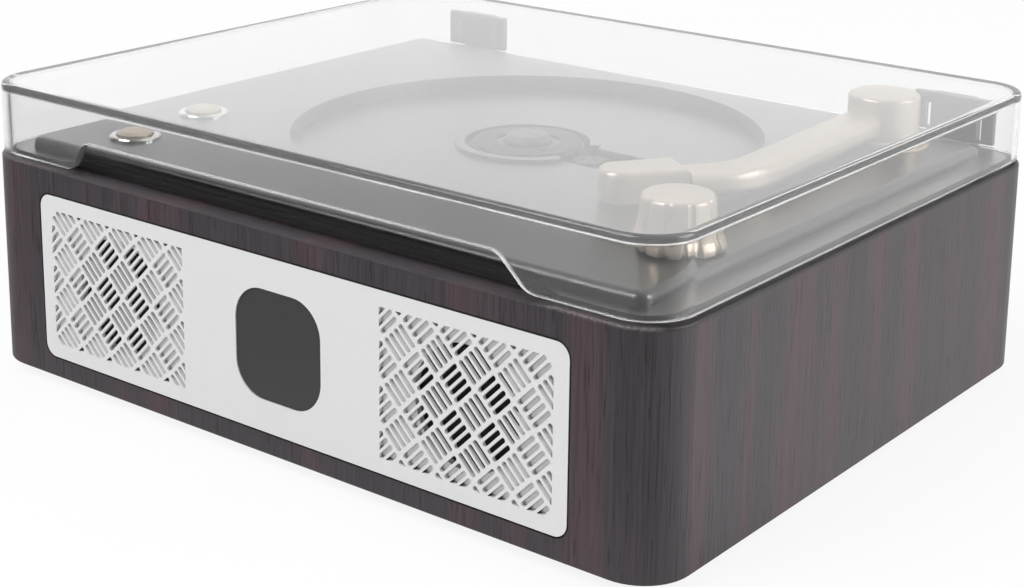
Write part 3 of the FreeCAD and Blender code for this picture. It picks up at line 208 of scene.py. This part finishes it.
def dustSpecks(tree, scale, rare):
    # 1 on a small dot in few of the cells, the fewer the closer rare is to 1
    cells = addNode(tree, "ShaderNodeTexVoronoi", {"Vector": objectPoint(tree), "Scale": scale})
    near = limit(tree, cells.outputs["Distance"], *dust["dot"])
    pick = addNode(tree, "ShaderNodeSeparateColor", {"Color": cells.outputs["Color"]})
    return multiply(tree, near, limit(tree, pick.outputs["Red"], rare, rare + dust["pickEdge"]))


# painted shade in the joint between cabinet and front panel
joint = {
    "panel": "front_panel",
    "corner": 4.0 * mm,
    "gap": 0.3 * mm,
    "shade": 0.12 * mm,
    "fade": 0.2 * mm,
    "depth": (4.2 * mm, 3.2 * mm),     # behind the panel's face, from bare to dark
}


def panelJointShade(tree, spec):
    # 1 on the cabinet's front close to the panel's rounded outline, where the joint's shade is painted,
    # from the distance in X and Z
    # d = |max(|p - centre| - (half - corner), 0)|, which is the corner's radius on the outline
    low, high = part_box(spec["panel"])
    centre, half = (low + high) / 2, (high - low) / 2
    core = (half.x - spec["corner"], 0, half.z - spec["corner"])
    point = objectPoint(tree)
    away = vectorStep(tree, "SUBTRACT", point, centre)
    away = vectorStep(tree, "MULTIPLY", away, (1, 0, 1))
    away = vectorStep(tree, "ABSOLUTE", away)
    away = vectorStep(tree, "SUBTRACT", away, core)
    away = vectorStep(tree, "MAXIMUM", away)
    reach = addNode(tree, "ShaderNodeVectorMath", {0: away}, operation="LENGTH").outputs["Value"]
    rim = spec["corner"] + spec["gap"] + spec["shade"]
    bare, dark = (low.y + depth for depth in spec["depth"])
    return multiply(tree, limit(tree, reach, rim + spec["fade"], rim),
                    limit(tree, axisValue(tree, point, "Y"), bare, dark))


# purple-brown veneer of the cabinet
veneer = {
    "band": {"scale": 75, "detail": 3, "rough": 0.5, "stretch": (1, 1, 0.03)},
    "bandTones": [(0.34, (0.051, 0.045, 0.051)), (0.50, (0.057, 0.046, 0.053)),
                  (0.62, (0.077, 0.049, 0.059)), (0.74, (0.063, 0.047, 0.055))],
    "grain": {"scale": 1300, "detail": 4, "rough": 0.65, "stretch": (1, 1, 0.02)},
    "grainTones": [(0.30, (0.70, 0.69, 0.70)), (0.52, (1.0, 1.0, 1.0)),
                   (0.75, (1.30, 1.28, 1.28))],
    "grainBump": (0.15, 0.1 * mm),
    "pore": {"scale": 2000, "detail": 1, "rough": 0.4, "stretch": (1, 1, 0.045)},
    "poreRange": (0.60, 0.69),
    "poreShare": 0.4,
    "poreTone": (0.010, 0.008, 0.009),
    "poreBump": (0.35, 0.2 * mm),
    "rim": (1.1 * mm, 0.4 * mm),           # under the cabinet's top, from plain to full
    "frontDepth": (3.2 * mm, 6.2 * mm),    # behind the cabinet's face, from front to side
    # painted shade on the top edge at the sides, where the lid's shadow falls
    "sideShadeShare": 0.85,
    "sideShadeTone": (0.012, 0.010, 0.011),
    "wear": {"scale": 1600, "detail": 3, "rough": 0.7},
    "wearRange": (0.35, 0.65),
    "wearShare": 0.7,
    "wearTone": (0.17, 0.15, 0.15),
    "dustScale": 150.0,
    "dustRare": 0.95,
    "dustTone": (0.75, 0.73, 0.73),
    "jointShadeTone": (0.006, 0.005, 0.006),
    "gloss": (0.36, 0.50),
}


def woodVeneer(spec):
    # broad bands, upright grain and short sunk pores, all drawn out along Z; a top edge with painted
    # shade at the sides, where the lid's shadow falls, and rubbed pale in front, specks of dust and
    # painted shade in the joint round the panel
    mat, tree, shader = newMaterial("woodVeneer", **{"Specular IOR Level": 0.5})
    low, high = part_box("cabinet")
    grain = noise(tree, **spec["grain"])
    base = ramp(tree, noise(tree, **spec["band"]), spec["bandTones"])
    lines = ramp(tree, grain, spec["grainTones"])
    colour = mixColour(tree, 1.0, base, lines, "MULTIPLY")
    dashes = limit(tree, noise(tree, **spec["pore"]), *spec["poreRange"])
    colour = mixColour(tree, multiply(tree, dashes, spec["poreShare"]), colour, spec["poreTone"])

    point = objectPoint(tree)
    depth = axisValue(tree, point, "Y")
    front, side = (low.y + inset for inset in spec["frontDepth"])
    rim = limit(tree, axisValue(tree, point, "Z"), *(high.z - under for under in spec["rim"]))
    # painted shade: the top edge darkened at the sides, where the lid's shadow falls
    edge = multiply(tree, rim, limit(tree, depth, front, side))
    colour = mixColour(tree, multiply(tree, edge, spec["sideShadeShare"]), colour, spec["sideShadeTone"])
    ragged = limit(tree, noise(tree, **spec["wear"]), *spec["wearRange"])
    worn = multiply(tree, multiply(tree, rim, limit(tree, depth, side, front)), ragged)
    colour = mixColour(tree, multiply(tree, worn, spec["wearShare"]), colour, spec["wearTone"])

    specks = dustSpecks(tree, spec["dustScale"], spec["dustRare"])
    colour = mixColour(tree, specks, colour, spec["dustTone"])
    # painted shade in the joint round the panel
    colour = mixColour(tree, panelJointShade(tree, joint), colour, spec["jointShadeTone"])
    fibres = bump(tree, grain, *spec["grainBump"])
    feed(tree, shader, {"Base Color": colour, "Roughness": spread(tree, grain, *spec["gloss"]),
                        "Normal": bump(tree, dashes, *spec["poreBump"], fibres, sunk=True)})
    return mat


# pale silver lacquer of the front panel
lacquer = {
    "sand": {"scale": 3200, "detail": 2, "rough": 0.5, "stretch": (0.4, 1, 1)},
    "sandTones": [(0.3, (0.735, 0.735, 0.74)), (0.7, (0.765, 0.765, 0.77))],
    "sandBump": (0.04, 0.05 * mm),
    "cornerReach": 1.0 * mm,
    "cornerRange": (0.75, 0.15),           # open share of the surroundings, from plain to dark
    "cornerShadeTone": (0.10, 0.10, 0.105),
    "cornerRays": 8,
    "gloss": (0.44, 0.52),
}


def silverFace(spec):
    # a very fine grain, with painted shade in the corners of the slots
    mat, tree, shader = newMaterial("silverFace", Metallic=0.1)
    sand = noise(tree, **spec["sand"])
    tone = ramp(tree, sand, spec["sandTones"])
    # ambient occlusion darkens the colour in the slots' corners: painted shade
    corner = addNode(tree, "ShaderNodeAmbientOcclusion", {"Distance": spec["cornerReach"]},
                     samples=spec["cornerRays"])
    slotShade = limit(tree, corner.outputs["AO"], *spec["cornerRange"])
    feed(tree, shader, {"Base Color": mixColour(tree, slotShade, tone, spec["cornerShadeTone"]),
                        "Roughness": spread(tree, sand, *spec["gloss"]),
                        "Normal": bump(tree, sand, *spec["sandBump"])})
    return mat


# moulded plastic, rubber and paper
moulded = {
    "pebble": {"detail": 2, "rough": 0.5},
    "pebbleDepth": 0.1 * mm,
    "cloud": {"scale": 35, "detail": 3, "rough": 0.5},
    "darkShare": 0.85,
    "glossShares": (0.85, 1.15),
}


def mouldedPlastic(name, colour, rough, grain, strength, **sockets):
    # a fine pebble in the normal and a little unevenness in tone and gloss
    mat, tree, shader = newMaterial(name, **sockets)
    pebble = noise(tree, scale=grain, **moulded["pebble"])
    cloud = noise(tree, **moulded["cloud"])
    dark = tuple(c * moulded["darkShare"] for c in colour)
    gloss = [rough * share for share in moulded["glossShares"]]
    feed(tree, shader, {"Base Color": mixColour(tree, cloud, dark, colour),
                        "Roughness": spread(tree, cloud, *gloss),
                        "Normal": bump(tree, pebble, strength, moulded["pebbleDepth"])})
    return mat


# bead-blasted, anodised and turned metal
blasted = {
    "sand": {"detail": 2, "rough": 0.6},
    "sandBump": (0.06, 0.05 * mm),
    "darkShare": 0.95,
    "glossShares": (0.9, 1.1),
}


def satinMetal(name, colour, rough, grain=3000, metal=1.0):
    # a tight sparkle in colour, gloss and normal
    mat, tree, shader = newMaterial(name, Metallic=metal)
    sand = noise(tree, scale=grain, **blasted["sand"])
    dark = tuple(c * blasted["darkShare"] for c in colour)
    gloss = [rough * share for share in blasted["glossShares"]]
    feed(tree, shader, {"Base Color": mixColour(tree, sand, dark, colour),
                        "Roughness": spread(tree, sand, *gloss),
                        "Normal": bump(tree, sand, *blasted["sandBump"])})
    return mat


# clear cast acrylic of the dust cover
acrylic = {
    "tint": (0.985, 0.987, 0.987, 1),
    "ior": 1.49,
    "rub": {"scale": 420, "detail": 2, "rough": 0.5, "stretch": (1, 0.08, 1), "turn": (0, 0, 0.6)},
    "rubRange": (0.66, 0.8),
    "rubRough": 0.06,
    "film": (0.065, 0.055),                # haze of the top and of the walls
    "filmStep": (3.7 * mm, 4.7 * mm),      # under the lid's top, from top to walls
    "dustScale": 130.0,
    "dustRare": 0.90,
    "dustTone": (0.9, 0.9, 0.9, 1),
}


def clearAcrylic(spec):
    # a thin haze, a few hairline rubs in its gloss and scattered specks of dust
    mat, tree, shader = newMaterial("clearAcrylic", **{"Base Color": spec["tint"], "IOR": spec["ior"],
                                                       "Transmission Weight": 1.0})
    rub = limit(tree, noise(tree, **spec["rub"]), *spec["rubRange"])
    feed(tree, shader, {"Roughness": multiply(tree, rub, spec["rubRough"])})
    low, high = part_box("dust_cover")
    steps = (high.z - under for under in spec["filmStep"])
    walls = limit(tree, axisValue(tree, objectPoint(tree), "Z"), *steps)
    film = spread(tree, walls, *spec["film"])
    haze = larger(tree, dustSpecks(tree, spec["dustScale"], spec["dustRare"]), film)
    matt = addNode(tree, "ShaderNodeBsdfDiffuse", {"Color": spec["dustTone"]})
    both = addNode(tree, "ShaderNodeMixShader", {0: haze, 1: shader.outputs["BSDF"],
                                                 2: matt.outputs["BSDF"]})
    tree.links.new(both.outputs[0], tree.nodes["Material Output"].inputs["Surface"])
    return mat


# pieces inside
board = {
    "pattern": {"Scale": 120.0, "Mortar Size": 0.05, "Mortar": (0.30, 0.36, 0.18, 1),
                "Color1": (0.02, 0.13, 0.06, 1), "Color2": (0.03, 0.17, 0.08, 1)},
    "gloss": (0.4, 0.3),
}
timber = {
    "grain": {"scale": 160, "detail": 5, "rough": 0.6, "stretch": (1, 1, 0.08)},
    "toneStops": (0.3, 0.7),
    "gloss": (0.6, 0.8),
}
pickupLens = {
    "ior": 1.6,
    "clear": 0.6,
    "glint": {"scale": 500, "detail": 1, "rough": 0.5},
    "glintTones": [(0.4, (0.25, 0.32, 0.60)), (0.6, (0.45, 0.35, 0.65))],
    "gloss": (0.02, 0.06),
}


def circuitBoard(spec):
    # green lacquer in small fields with pale tracks between them
    mat, tree, shader = newMaterial("circuitBoard")
    cells = addNode(tree, "ShaderNodeTexBrick", {"Vector": objectPoint(tree), **spec["pattern"]})
    feed(tree, shader, {"Base Color": cells.outputs["Color"],
                        "Roughness": spread(tree, cells.outputs["Fac"], *spec["gloss"])})
    return mat


def rawTimber(name, pale, dark):
    mat, tree, shader = newMaterial(name)
    grain = noise(tree, **timber["grain"])
    tones = list(zip(timber["toneStops"], (dark, pale)))
    feed(tree, shader, {"Base Color": ramp(tree, grain, tones),
                        "Roughness": spread(tree, grain, *timber["gloss"])})
    return mat


def coatedLens(spec):
    # a blue and violet glint on glass
    mat, tree, shader = newMaterial("coatedLens", **{"IOR": spec["ior"],
                                                     "Transmission Weight": spec["clear"]})
    glint = noise(tree, **spec["glint"])
    feed(tree, shader, {"Base Color": ramp(tree, glint, spec["glintTones"]),
                        "Roughness": spread(tree, glint, *spec["gloss"])})
    return mat


# one finish for each slot of the record
finishes = {
    "wood": woodVeneer(veneer),
    "silver": silverFace(lacquer),
    "window_black": mouldedPlastic("windowBlack", (0.052, 0.052, 0.052),
                                   rough=0.40, grain=2600, strength=0.05),
    "deck_black": mouldedPlastic("deckBlack", (0.009, 0.0095, 0.011),
                                 rough=0.32, grain=2200, strength=0.006,
                                 **{"Specular IOR Level": 1.0, "Coat Weight": 1.0,
                                    "Coat Roughness": 0.36}),
    "champagne": satinMetal("champagneMetal", (0.80, 0.685, 0.565), rough=0.34, metal=0.45),
    "ring_silver": satinMetal("ringSilver", (0.86, 0.86, 0.85), rough=0.2),
    "clear": clearAcrylic(acrylic),
    "hinge_black": mouldedPlastic("hingeBlack", (0.034, 0.034, 0.035),
                                  rough=0.42, grain=2400, strength=0.12),
    "steel": satinMetal("groundSteel", (0.62, 0.62, 0.63), rough=0.28),
    "tray_grey": mouldedPlastic("trayGrey", (0.07, 0.072, 0.076),
                                rough=0.40, grain=2400, strength=0.12,
                                **{"Specular IOR Level": 0.9}),
    "rubber": mouldedPlastic("footRubber", (0.025, 0.025, 0.025),
                             rough=0.5, grain=1800, strength=0.25),
    "board": circuitBoard(board),
    "blockwood": rawTimber("rawPine", (0.60, 0.46, 0.30), (0.45, 0.32, 0.19)),
    "fibre": rawTimber("blackFibreboard", (0.045, 0.040, 0.036), (0.030, 0.026, 0.024)),
    "paper": mouldedPlastic("conePaper", (0.018, 0.018, 0.018),
                            rough=0.80, grain=900, strength=0.5),
    "magnet": satinMetal("ferrite", (0.10, 0.10, 0.10), rough=0.55, grain=1500, metal=0.4),
    "brass": satinMetal("turnedBrass", (0.75, 0.56, 0.27), rough=0.25),
    "lens": coatedLens(pickupLens),
}
for part in frame["record"]["subparts"]:
    mesh = nodes[part["node"]].data
    mesh.materials.clear()
    mesh.materials.append(finishes[part["material_slot"]])
print("finishes on CAD nodes:", len(finishes))


# meshes from grids of points
def gridFaces(rows, cols):
    # quads of a grid of rows by cols, closed across the columns
    row, col = np.meshgrid(np.arange(rows - 1), np.arange(cols), indexing="ij")
    here, above, after = row * cols, (row + 1) * cols, (col + 1) % cols
    quads = np.stack([here + col, here + after, above + after, above + col], -1)
    return quads.reshape(-1, 4)


def addPiece(name, points, faces, slotName, body, stands, sharp):
    # one mesh from a grid of points and a list of faces, smooth apart from edges sharper than
    # the angle; it stands in for the CAD nodes named
    mesh = bpy.data.meshes.new(name)
    mesh.from_pydata(points.reshape(-1, 3).tolist(), [], faces)
    mesh.validate()
    mesh.shade_smooth()
    mesh.set_sharp_from_angle(angle=math.radians(sharp))
    piece = bpy.data.objects.new(name, mesh)
    bpy.context.scene.collection.objects.link(piece)
    mesh.materials.append(finishes[slotName])
    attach(piece, body)
    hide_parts(*stands)
    return piece


# clear dust cover
lid = {
    "corner": 13.3 * mm,
    "cornerSteps": 20,
    "wall": 2.5 * mm,
    "topRound": 1.4 * mm,
    "insideRound": 0.7 * mm,
    "edgeRound": 0.45 * mm,
    "roundSteps": 8,
    "notchRise": 8.7 * mm,
    "notchFoot": 82.4 * mm,
    "notchHead": {"left": 77.4 * mm, "right": 73.0 * mm},
    "notchRound": {"left": 4.2 * mm, "right": 7.0 * mm},
    "notchSpan": (62 * mm, 92 * mm),       # away from the middle, where columns stand close
    "notchColumns": 46,
    "guard": 0.3 * mm,                     # from a round to the next row or column on the flat
    "sharpEdge": 28,
}


def notchEnd(x, spec, side):
    # one end of the front notch, x away from the middle: flat top, straight slope and two
    # tangent arcs, as height over the lid's lower edge
    rise, r = spec["notchRise"], spec["notchRound"][side]
    foot, head = spec["notchFoot"], spec["notchHead"][side]
    slope = math.atan2(rise, foot - head)
    reach = r * math.tan(slope / 2)
    footEnd, headEnd = foot + reach, head - reach
    straight = (foot - x) * math.tan(slope)
    lowArc = r - np.sqrt(np.clip(r * r - (footEnd - x) ** 2, 0, None))
    highArc = rise - r + np.sqrt(np.clip(r * r - (x - headEnd) ** 2, 0, None))
    height = np.where(x > foot - reach * math.cos(slope), lowArc, straight)
    height = np.where(x < head + reach * math.cos(slope), highArc, height)
    height = np.where(x >= footEnd, 0.0, height)
    return np.where(x <= headEnd, rise, height)


def notchHeight(x, spec):
    # the left end of the notch is the steeper one
    return np.where(x < 0, notchEnd(-x, spec, "left"), notchEnd(x, spec, "right"))


def lidOutline(low, high, spec):
    # columns round the lid: place, outward normal and height of the lower edge over the lid's
    # base; a column stands close to the end of each straight side, for true normals on the flats
    r, guard = spec["corner"], spec["guard"]
    end = high[0] - r
    front, rear = low[1] + r, high[1] - r
    dense = np.linspace(*spec["notchSpan"], spec["notchColumns"])
    frontX = np.concatenate([[-end, guard - end], -dense[::-1], dense, [end - guard, end]])
    rearX = np.array([end, end - guard, guard - end, -end])
    sideY = np.array([front, front + guard, rear - guard, rear])
    turn = np.linspace(0, math.pi / 2, spec["cornerSteps"] + 1)[1:-1]
    runs = []

    def straight(x, y, angle, rise):
        count = max(np.size(x), np.size(y))
        spots = np.column_stack([np.broadcast_to(x, count), np.broadcast_to(y, count)])
        runs.append((spots, np.full(count, angle), np.broadcast_to(rise, count)))

    def bend(cx, cy, start):
        angle = start + turn
        spots = np.column_stack([cx + r * np.cos(angle), cy + r * np.sin(angle)])
        runs.append((spots, angle, np.zeros(turn.size)))

    straight(frontX, low[1], -math.pi / 2, notchHeight(frontX, spec))
    bend(end, front, -math.pi / 2)
    straight(high[0], sideY, 0.0, 0.0)
    bend(end, rear, 0.0)
    straight(rearX, high[1], math.pi / 2, 0.0)
    bend(-end, rear, math.pi / 2)
    straight(low[0], sideY[::-1], math.pi, 0.0)
    bend(-end, front, math.pi)
    place, angle, rise = (np.concatenate(column) for column in zip(*runs))
    return place, np.column_stack([np.cos(angle), np.sin(angle)]), rise


def dustCover(spec):
    # rows run from the top's rim down outside, under the lower edge and up inside to the ceiling;
    # each row is the outline moved in by an inset, at a height over the lower edge or under the top
    low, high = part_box("dust_cover")
    place, normal, rise = lidOutline(low, high, spec)
    base, top = low.z + rise, high.z
    edge, guard, wall = spec["edgeRound"], spec["guard"], spec["wall"]
    outer, inner = spec["topRound"], spec["insideRound"]
    ceiling = top - wall
    angle = np.linspace(0, math.pi / 2, spec["roundSteps"] + 1)
    quarter = list(zip(1 - np.cos(angle), 1 - np.sin(angle)))     # inset and drop of a unit round
    rows = [(outer + guard, top)]
    rows += [(outer * inset, top - outer * drop) for inset, drop in quarter[::-1]]
    rows += [(0.0, top - outer - guard), (0.0, base + edge + guard)]
    rows += [(edge * inset, base + edge * drop) for inset, drop in quarter]
    rows += [(wall - edge * inset, base + edge * drop) for inset, drop in quarter[::-1]]
    rows += [(wall, base + edge + guard), (wall, ceiling - inner - guard)]
    rows += [(wall + inner * inset, ceiling - inner * drop) for inset, drop in quarter]
    rows.append((wall + inner + guard, ceiling))
    points = np.stack([np.column_stack([place - normal * inset, np.broadcast_to(height, base.shape)])
                       for inset, height in rows])
    count = base.size
    faces = gridFaces(len(rows), count)[:, ::-1].tolist()
    faces.append(list(range(count)))
    faces.append(list(range((len(rows) - 1) * count, len(rows) * count))[::-1])
    piece = addPiece("clearCover", points, faces, "clear", "lid", ["dust_cover"], spec["sharpEdge"])
    for polygon in piece.data.polygons[-2:]:     # top and ceiling are flat
        polygon.use_smooth = False
    return piece


cover = dustCover(lid)
print("dust cover:", len(cover.data.polygons), "faces")


# volume knob
knob = {
    "axis": (96.8 * mm, -58.9 * mm),
    "foot": 72.8 * mm,
    "profile": [(0.0, 10.5), (0.15, 10.85), (0.5, 11.1), (1.0, 11.2), (1.7, 11.1), (2.6, 10.75),
                (3.6, 10.3), (4.8, 10.0), (6.5, 9.82), (8.5, 9.68), (10.2, 9.56), (10.9, 9.48),
                (11.3, 9.28), (11.6, 9.0), (11.82, 8.6), (11.9, 8.2)],     # rise and radius in mm
    "rows": 64,
    "flutes": 10,
    "fluteSteps": 36,
    "fluteWidth": math.radians(5.6),
    "fluteDepth": (1.4 * mm, 0.6 * mm),    # at the foot and above the flare
    "fluteEnd": 10.3 * mm,
    "flareRise": 4.0 * mm,
    "flareWiden": 0.6,
    "flareFall": 1.5,
    "sharpEdge": 50,
}


def turnedKnob(spec):
    # r(z, t) = profile(z) - depth(z) * max(0, 1 - (f / width(z))^2), f the angle from the nearest
    # flute; depth and width run out from the flare at the foot, and the depth dies out above the
    # flutes' end
    stops = np.array(spec["profile"]) * mm
    run = np.concatenate([[0], np.cumsum(np.hypot(*np.diff(stops, axis=0).T))])
    along = np.linspace(0, run[-1], spec["rows"])
    rise = np.interp(along, run, stops[:, 0])
    radius = np.interp(along, run, stops[:, 1])
    count = spec["flutes"] * spec["fluteSteps"]
    turn = np.arange(count) * 2 * math.pi / count
    pitch = 2 * math.pi / spec["flutes"]
    away = (turn + pitch / 2) % pitch - pitch / 2
    flare = np.clip(1 - rise / spec["flareRise"], 0, 1)
    deep, shallow = spec["fluteDepth"]
    depth = shallow + (deep - shallow) * flare ** spec["flareFall"]
    crown = stops[-1, 0]
    depth = depth * np.clip((crown - rise) / (crown - spec["fluteEnd"]), 0, 1)
    width = spec["fluteWidth"] * (1 + spec["flareWiden"] * flare)
    groove = np.clip(1 - (away[None, :] / width[:, None]) ** 2, 0, 1)
    r = radius[:, None] - depth[:, None] * groove
    points = np.stack([spec["axis"][0] + r * np.cos(turn), spec["axis"][1] + r * np.sin(turn),
                       np.broadcast_to(spec["foot"] + rise[:, None], r.shape)], -1)
    faces = gridFaces(spec["rows"], count).tolist()
    faces.append(list(range((spec["rows"] - 1) * count, spec["rows"] * count)))
    faces.append(list(range(count))[::-1])
    return addPiece("fluteKnob", points, faces, "champagne", "knob", ["volume_knob"], spec["sharpEdge"])


dial = turnedKnob(knob)
print("volume knob:", len(dial.data.polygons), "faces")


# floor, world and lamps
studio = {
    "floorHalf": 6.0,
    "floorLevel": -0.0001,
    "floorTone": (0.9, 0.9, 0.9, 1),
    "floorGlow": 0.88,
    "white": (1, 1, 1, 1),
    "skyDiffuse": 0.5,
    "frontTone": 0.015,
    "skyTurn": (-0.30, 0.35),
    "floorTurn": (-0.20, 0.0),
    "aim": (0, 0, 0.04),
    "lamps": [
        {"name": "keyLamp", "place": (-0.6, -1.1, 1.5), "size": (1.2, 1.2), "power": 25.0},
        {"name": "sideLamp", "place": (1.4, 0.6, 0.8), "size": (1.0, 1.0), "power": 14.0},
        {"name": "rearLamp", "place": (-1.15, 1.5, 0.62), "size": (2.6, 1.0), "power": 0.9},
    ],
}


def whiteWhenSeen(tree, along, turn, low):
    # white for camera rays; gloss and clear pieces see white behind the player and a dark room in
    # front of it, so their share of white rises with the value along, over the range turn, from
    # low to 1. Gives that white, and 1 for all these rays
    path = addNode(tree, "ShaderNodeLightPath").outputs
    mirrored = larger(tree, path["Is Glossy Ray"], path["Is Transmission Ray"])
    behind = multiply(tree, mirrored, spread(tree, limit(tree, along, *turn), low, 1.0))
    return larger(tree, path["Is Camera Ray"], behind), larger(tree, mirrored, path["Is Camera Ray"])


def addFloor(spec):
    # a matt sheet that takes shadows, mixed with the white that is seen
    half, low = spec["floorHalf"], spec["floorLevel"]
    mesh = bpy.data.meshes.new("floorSheet")
    corners = [(-half, -half, low), (half, -half, low), (half, half, low), (-half, half, low)]
    mesh.from_pydata(corners, [], [(0, 1, 2, 3)])
    floor = bpy.data.objects.new("floorSheet", mesh)
    bpy.context.scene.collection.objects.link(floor)
    mat = bpy.data.materials.new("paleFloor")
    tree = emptyTree(mat)
    depth = axisValue(tree, objectPoint(tree), "Y")
    white, seen = whiteWhenSeen(tree, depth, spec["floorTurn"], spec["frontTone"])
    matt = addNode(tree, "ShaderNodeBsdfDiffuse", {"Color": spec["floorTone"]})
    glow = addNode(tree, "ShaderNodeEmission", {"Color": spec["white"], "Strength": white})
    both = addNode(tree, "ShaderNodeMixShader", {0: multiply(tree, seen, spec["floorGlow"]),
                                                 1: matt.outputs[0], 2: glow.outputs[0]})
    addNode(tree, "ShaderNodeOutputMaterial", {"Surface": both.outputs[0]})
    mesh.materials.append(mat)


def addSky(spec):
    # the same white where it is seen, and an even grey that lights matt surfaces
    world = bpy.data.worlds.new("whiteTent")
    bpy.context.scene.world = world
    tree = emptyTree(world)
    ray = addNode(tree, "ShaderNodeTexCoord").outputs["Generated"]
    depth = axisValue(tree, ray, "Y")
    white, seen = whiteWhenSeen(tree, depth, spec["skyTurn"], spec["frontTone"])
    strength = addNode(tree, "ShaderNodeMix", {0: seen, 2: spec["skyDiffuse"], 3: white},
                       data_type="FLOAT")
    sky = addNode(tree, "ShaderNodeBackground", {"Color": spec["white"],
                                                 "Strength": strength.outputs[0]})
    addNode(tree, "ShaderNodeOutputWorld", {"Surface": sky.outputs[0]})


def addLamp(spec, aim):
    light = bpy.data.lights.new(spec["name"], "AREA")
    light.shape = "RECTANGLE"
    light.size, light.size_y = spec["size"]
    light.energy = spec["power"]
    holder = bpy.data.objects.new(spec["name"], light)
    bpy.context.scene.collection.objects.link(holder)
    holder.location = spec["place"]
    toward = Vector(aim) - Vector(spec["place"])
    holder.rotation_euler = toward.to_track_quat("-Z", "Y").to_euler()


addFloor(studio)
addSky(studio)
for lamp in studio["lamps"]:
    addLamp(lamp, studio["aim"])
bpy.context.scene.view_settings.view_transform = "Standard"
print("studio ready")

bpy.context.view_layer.update()
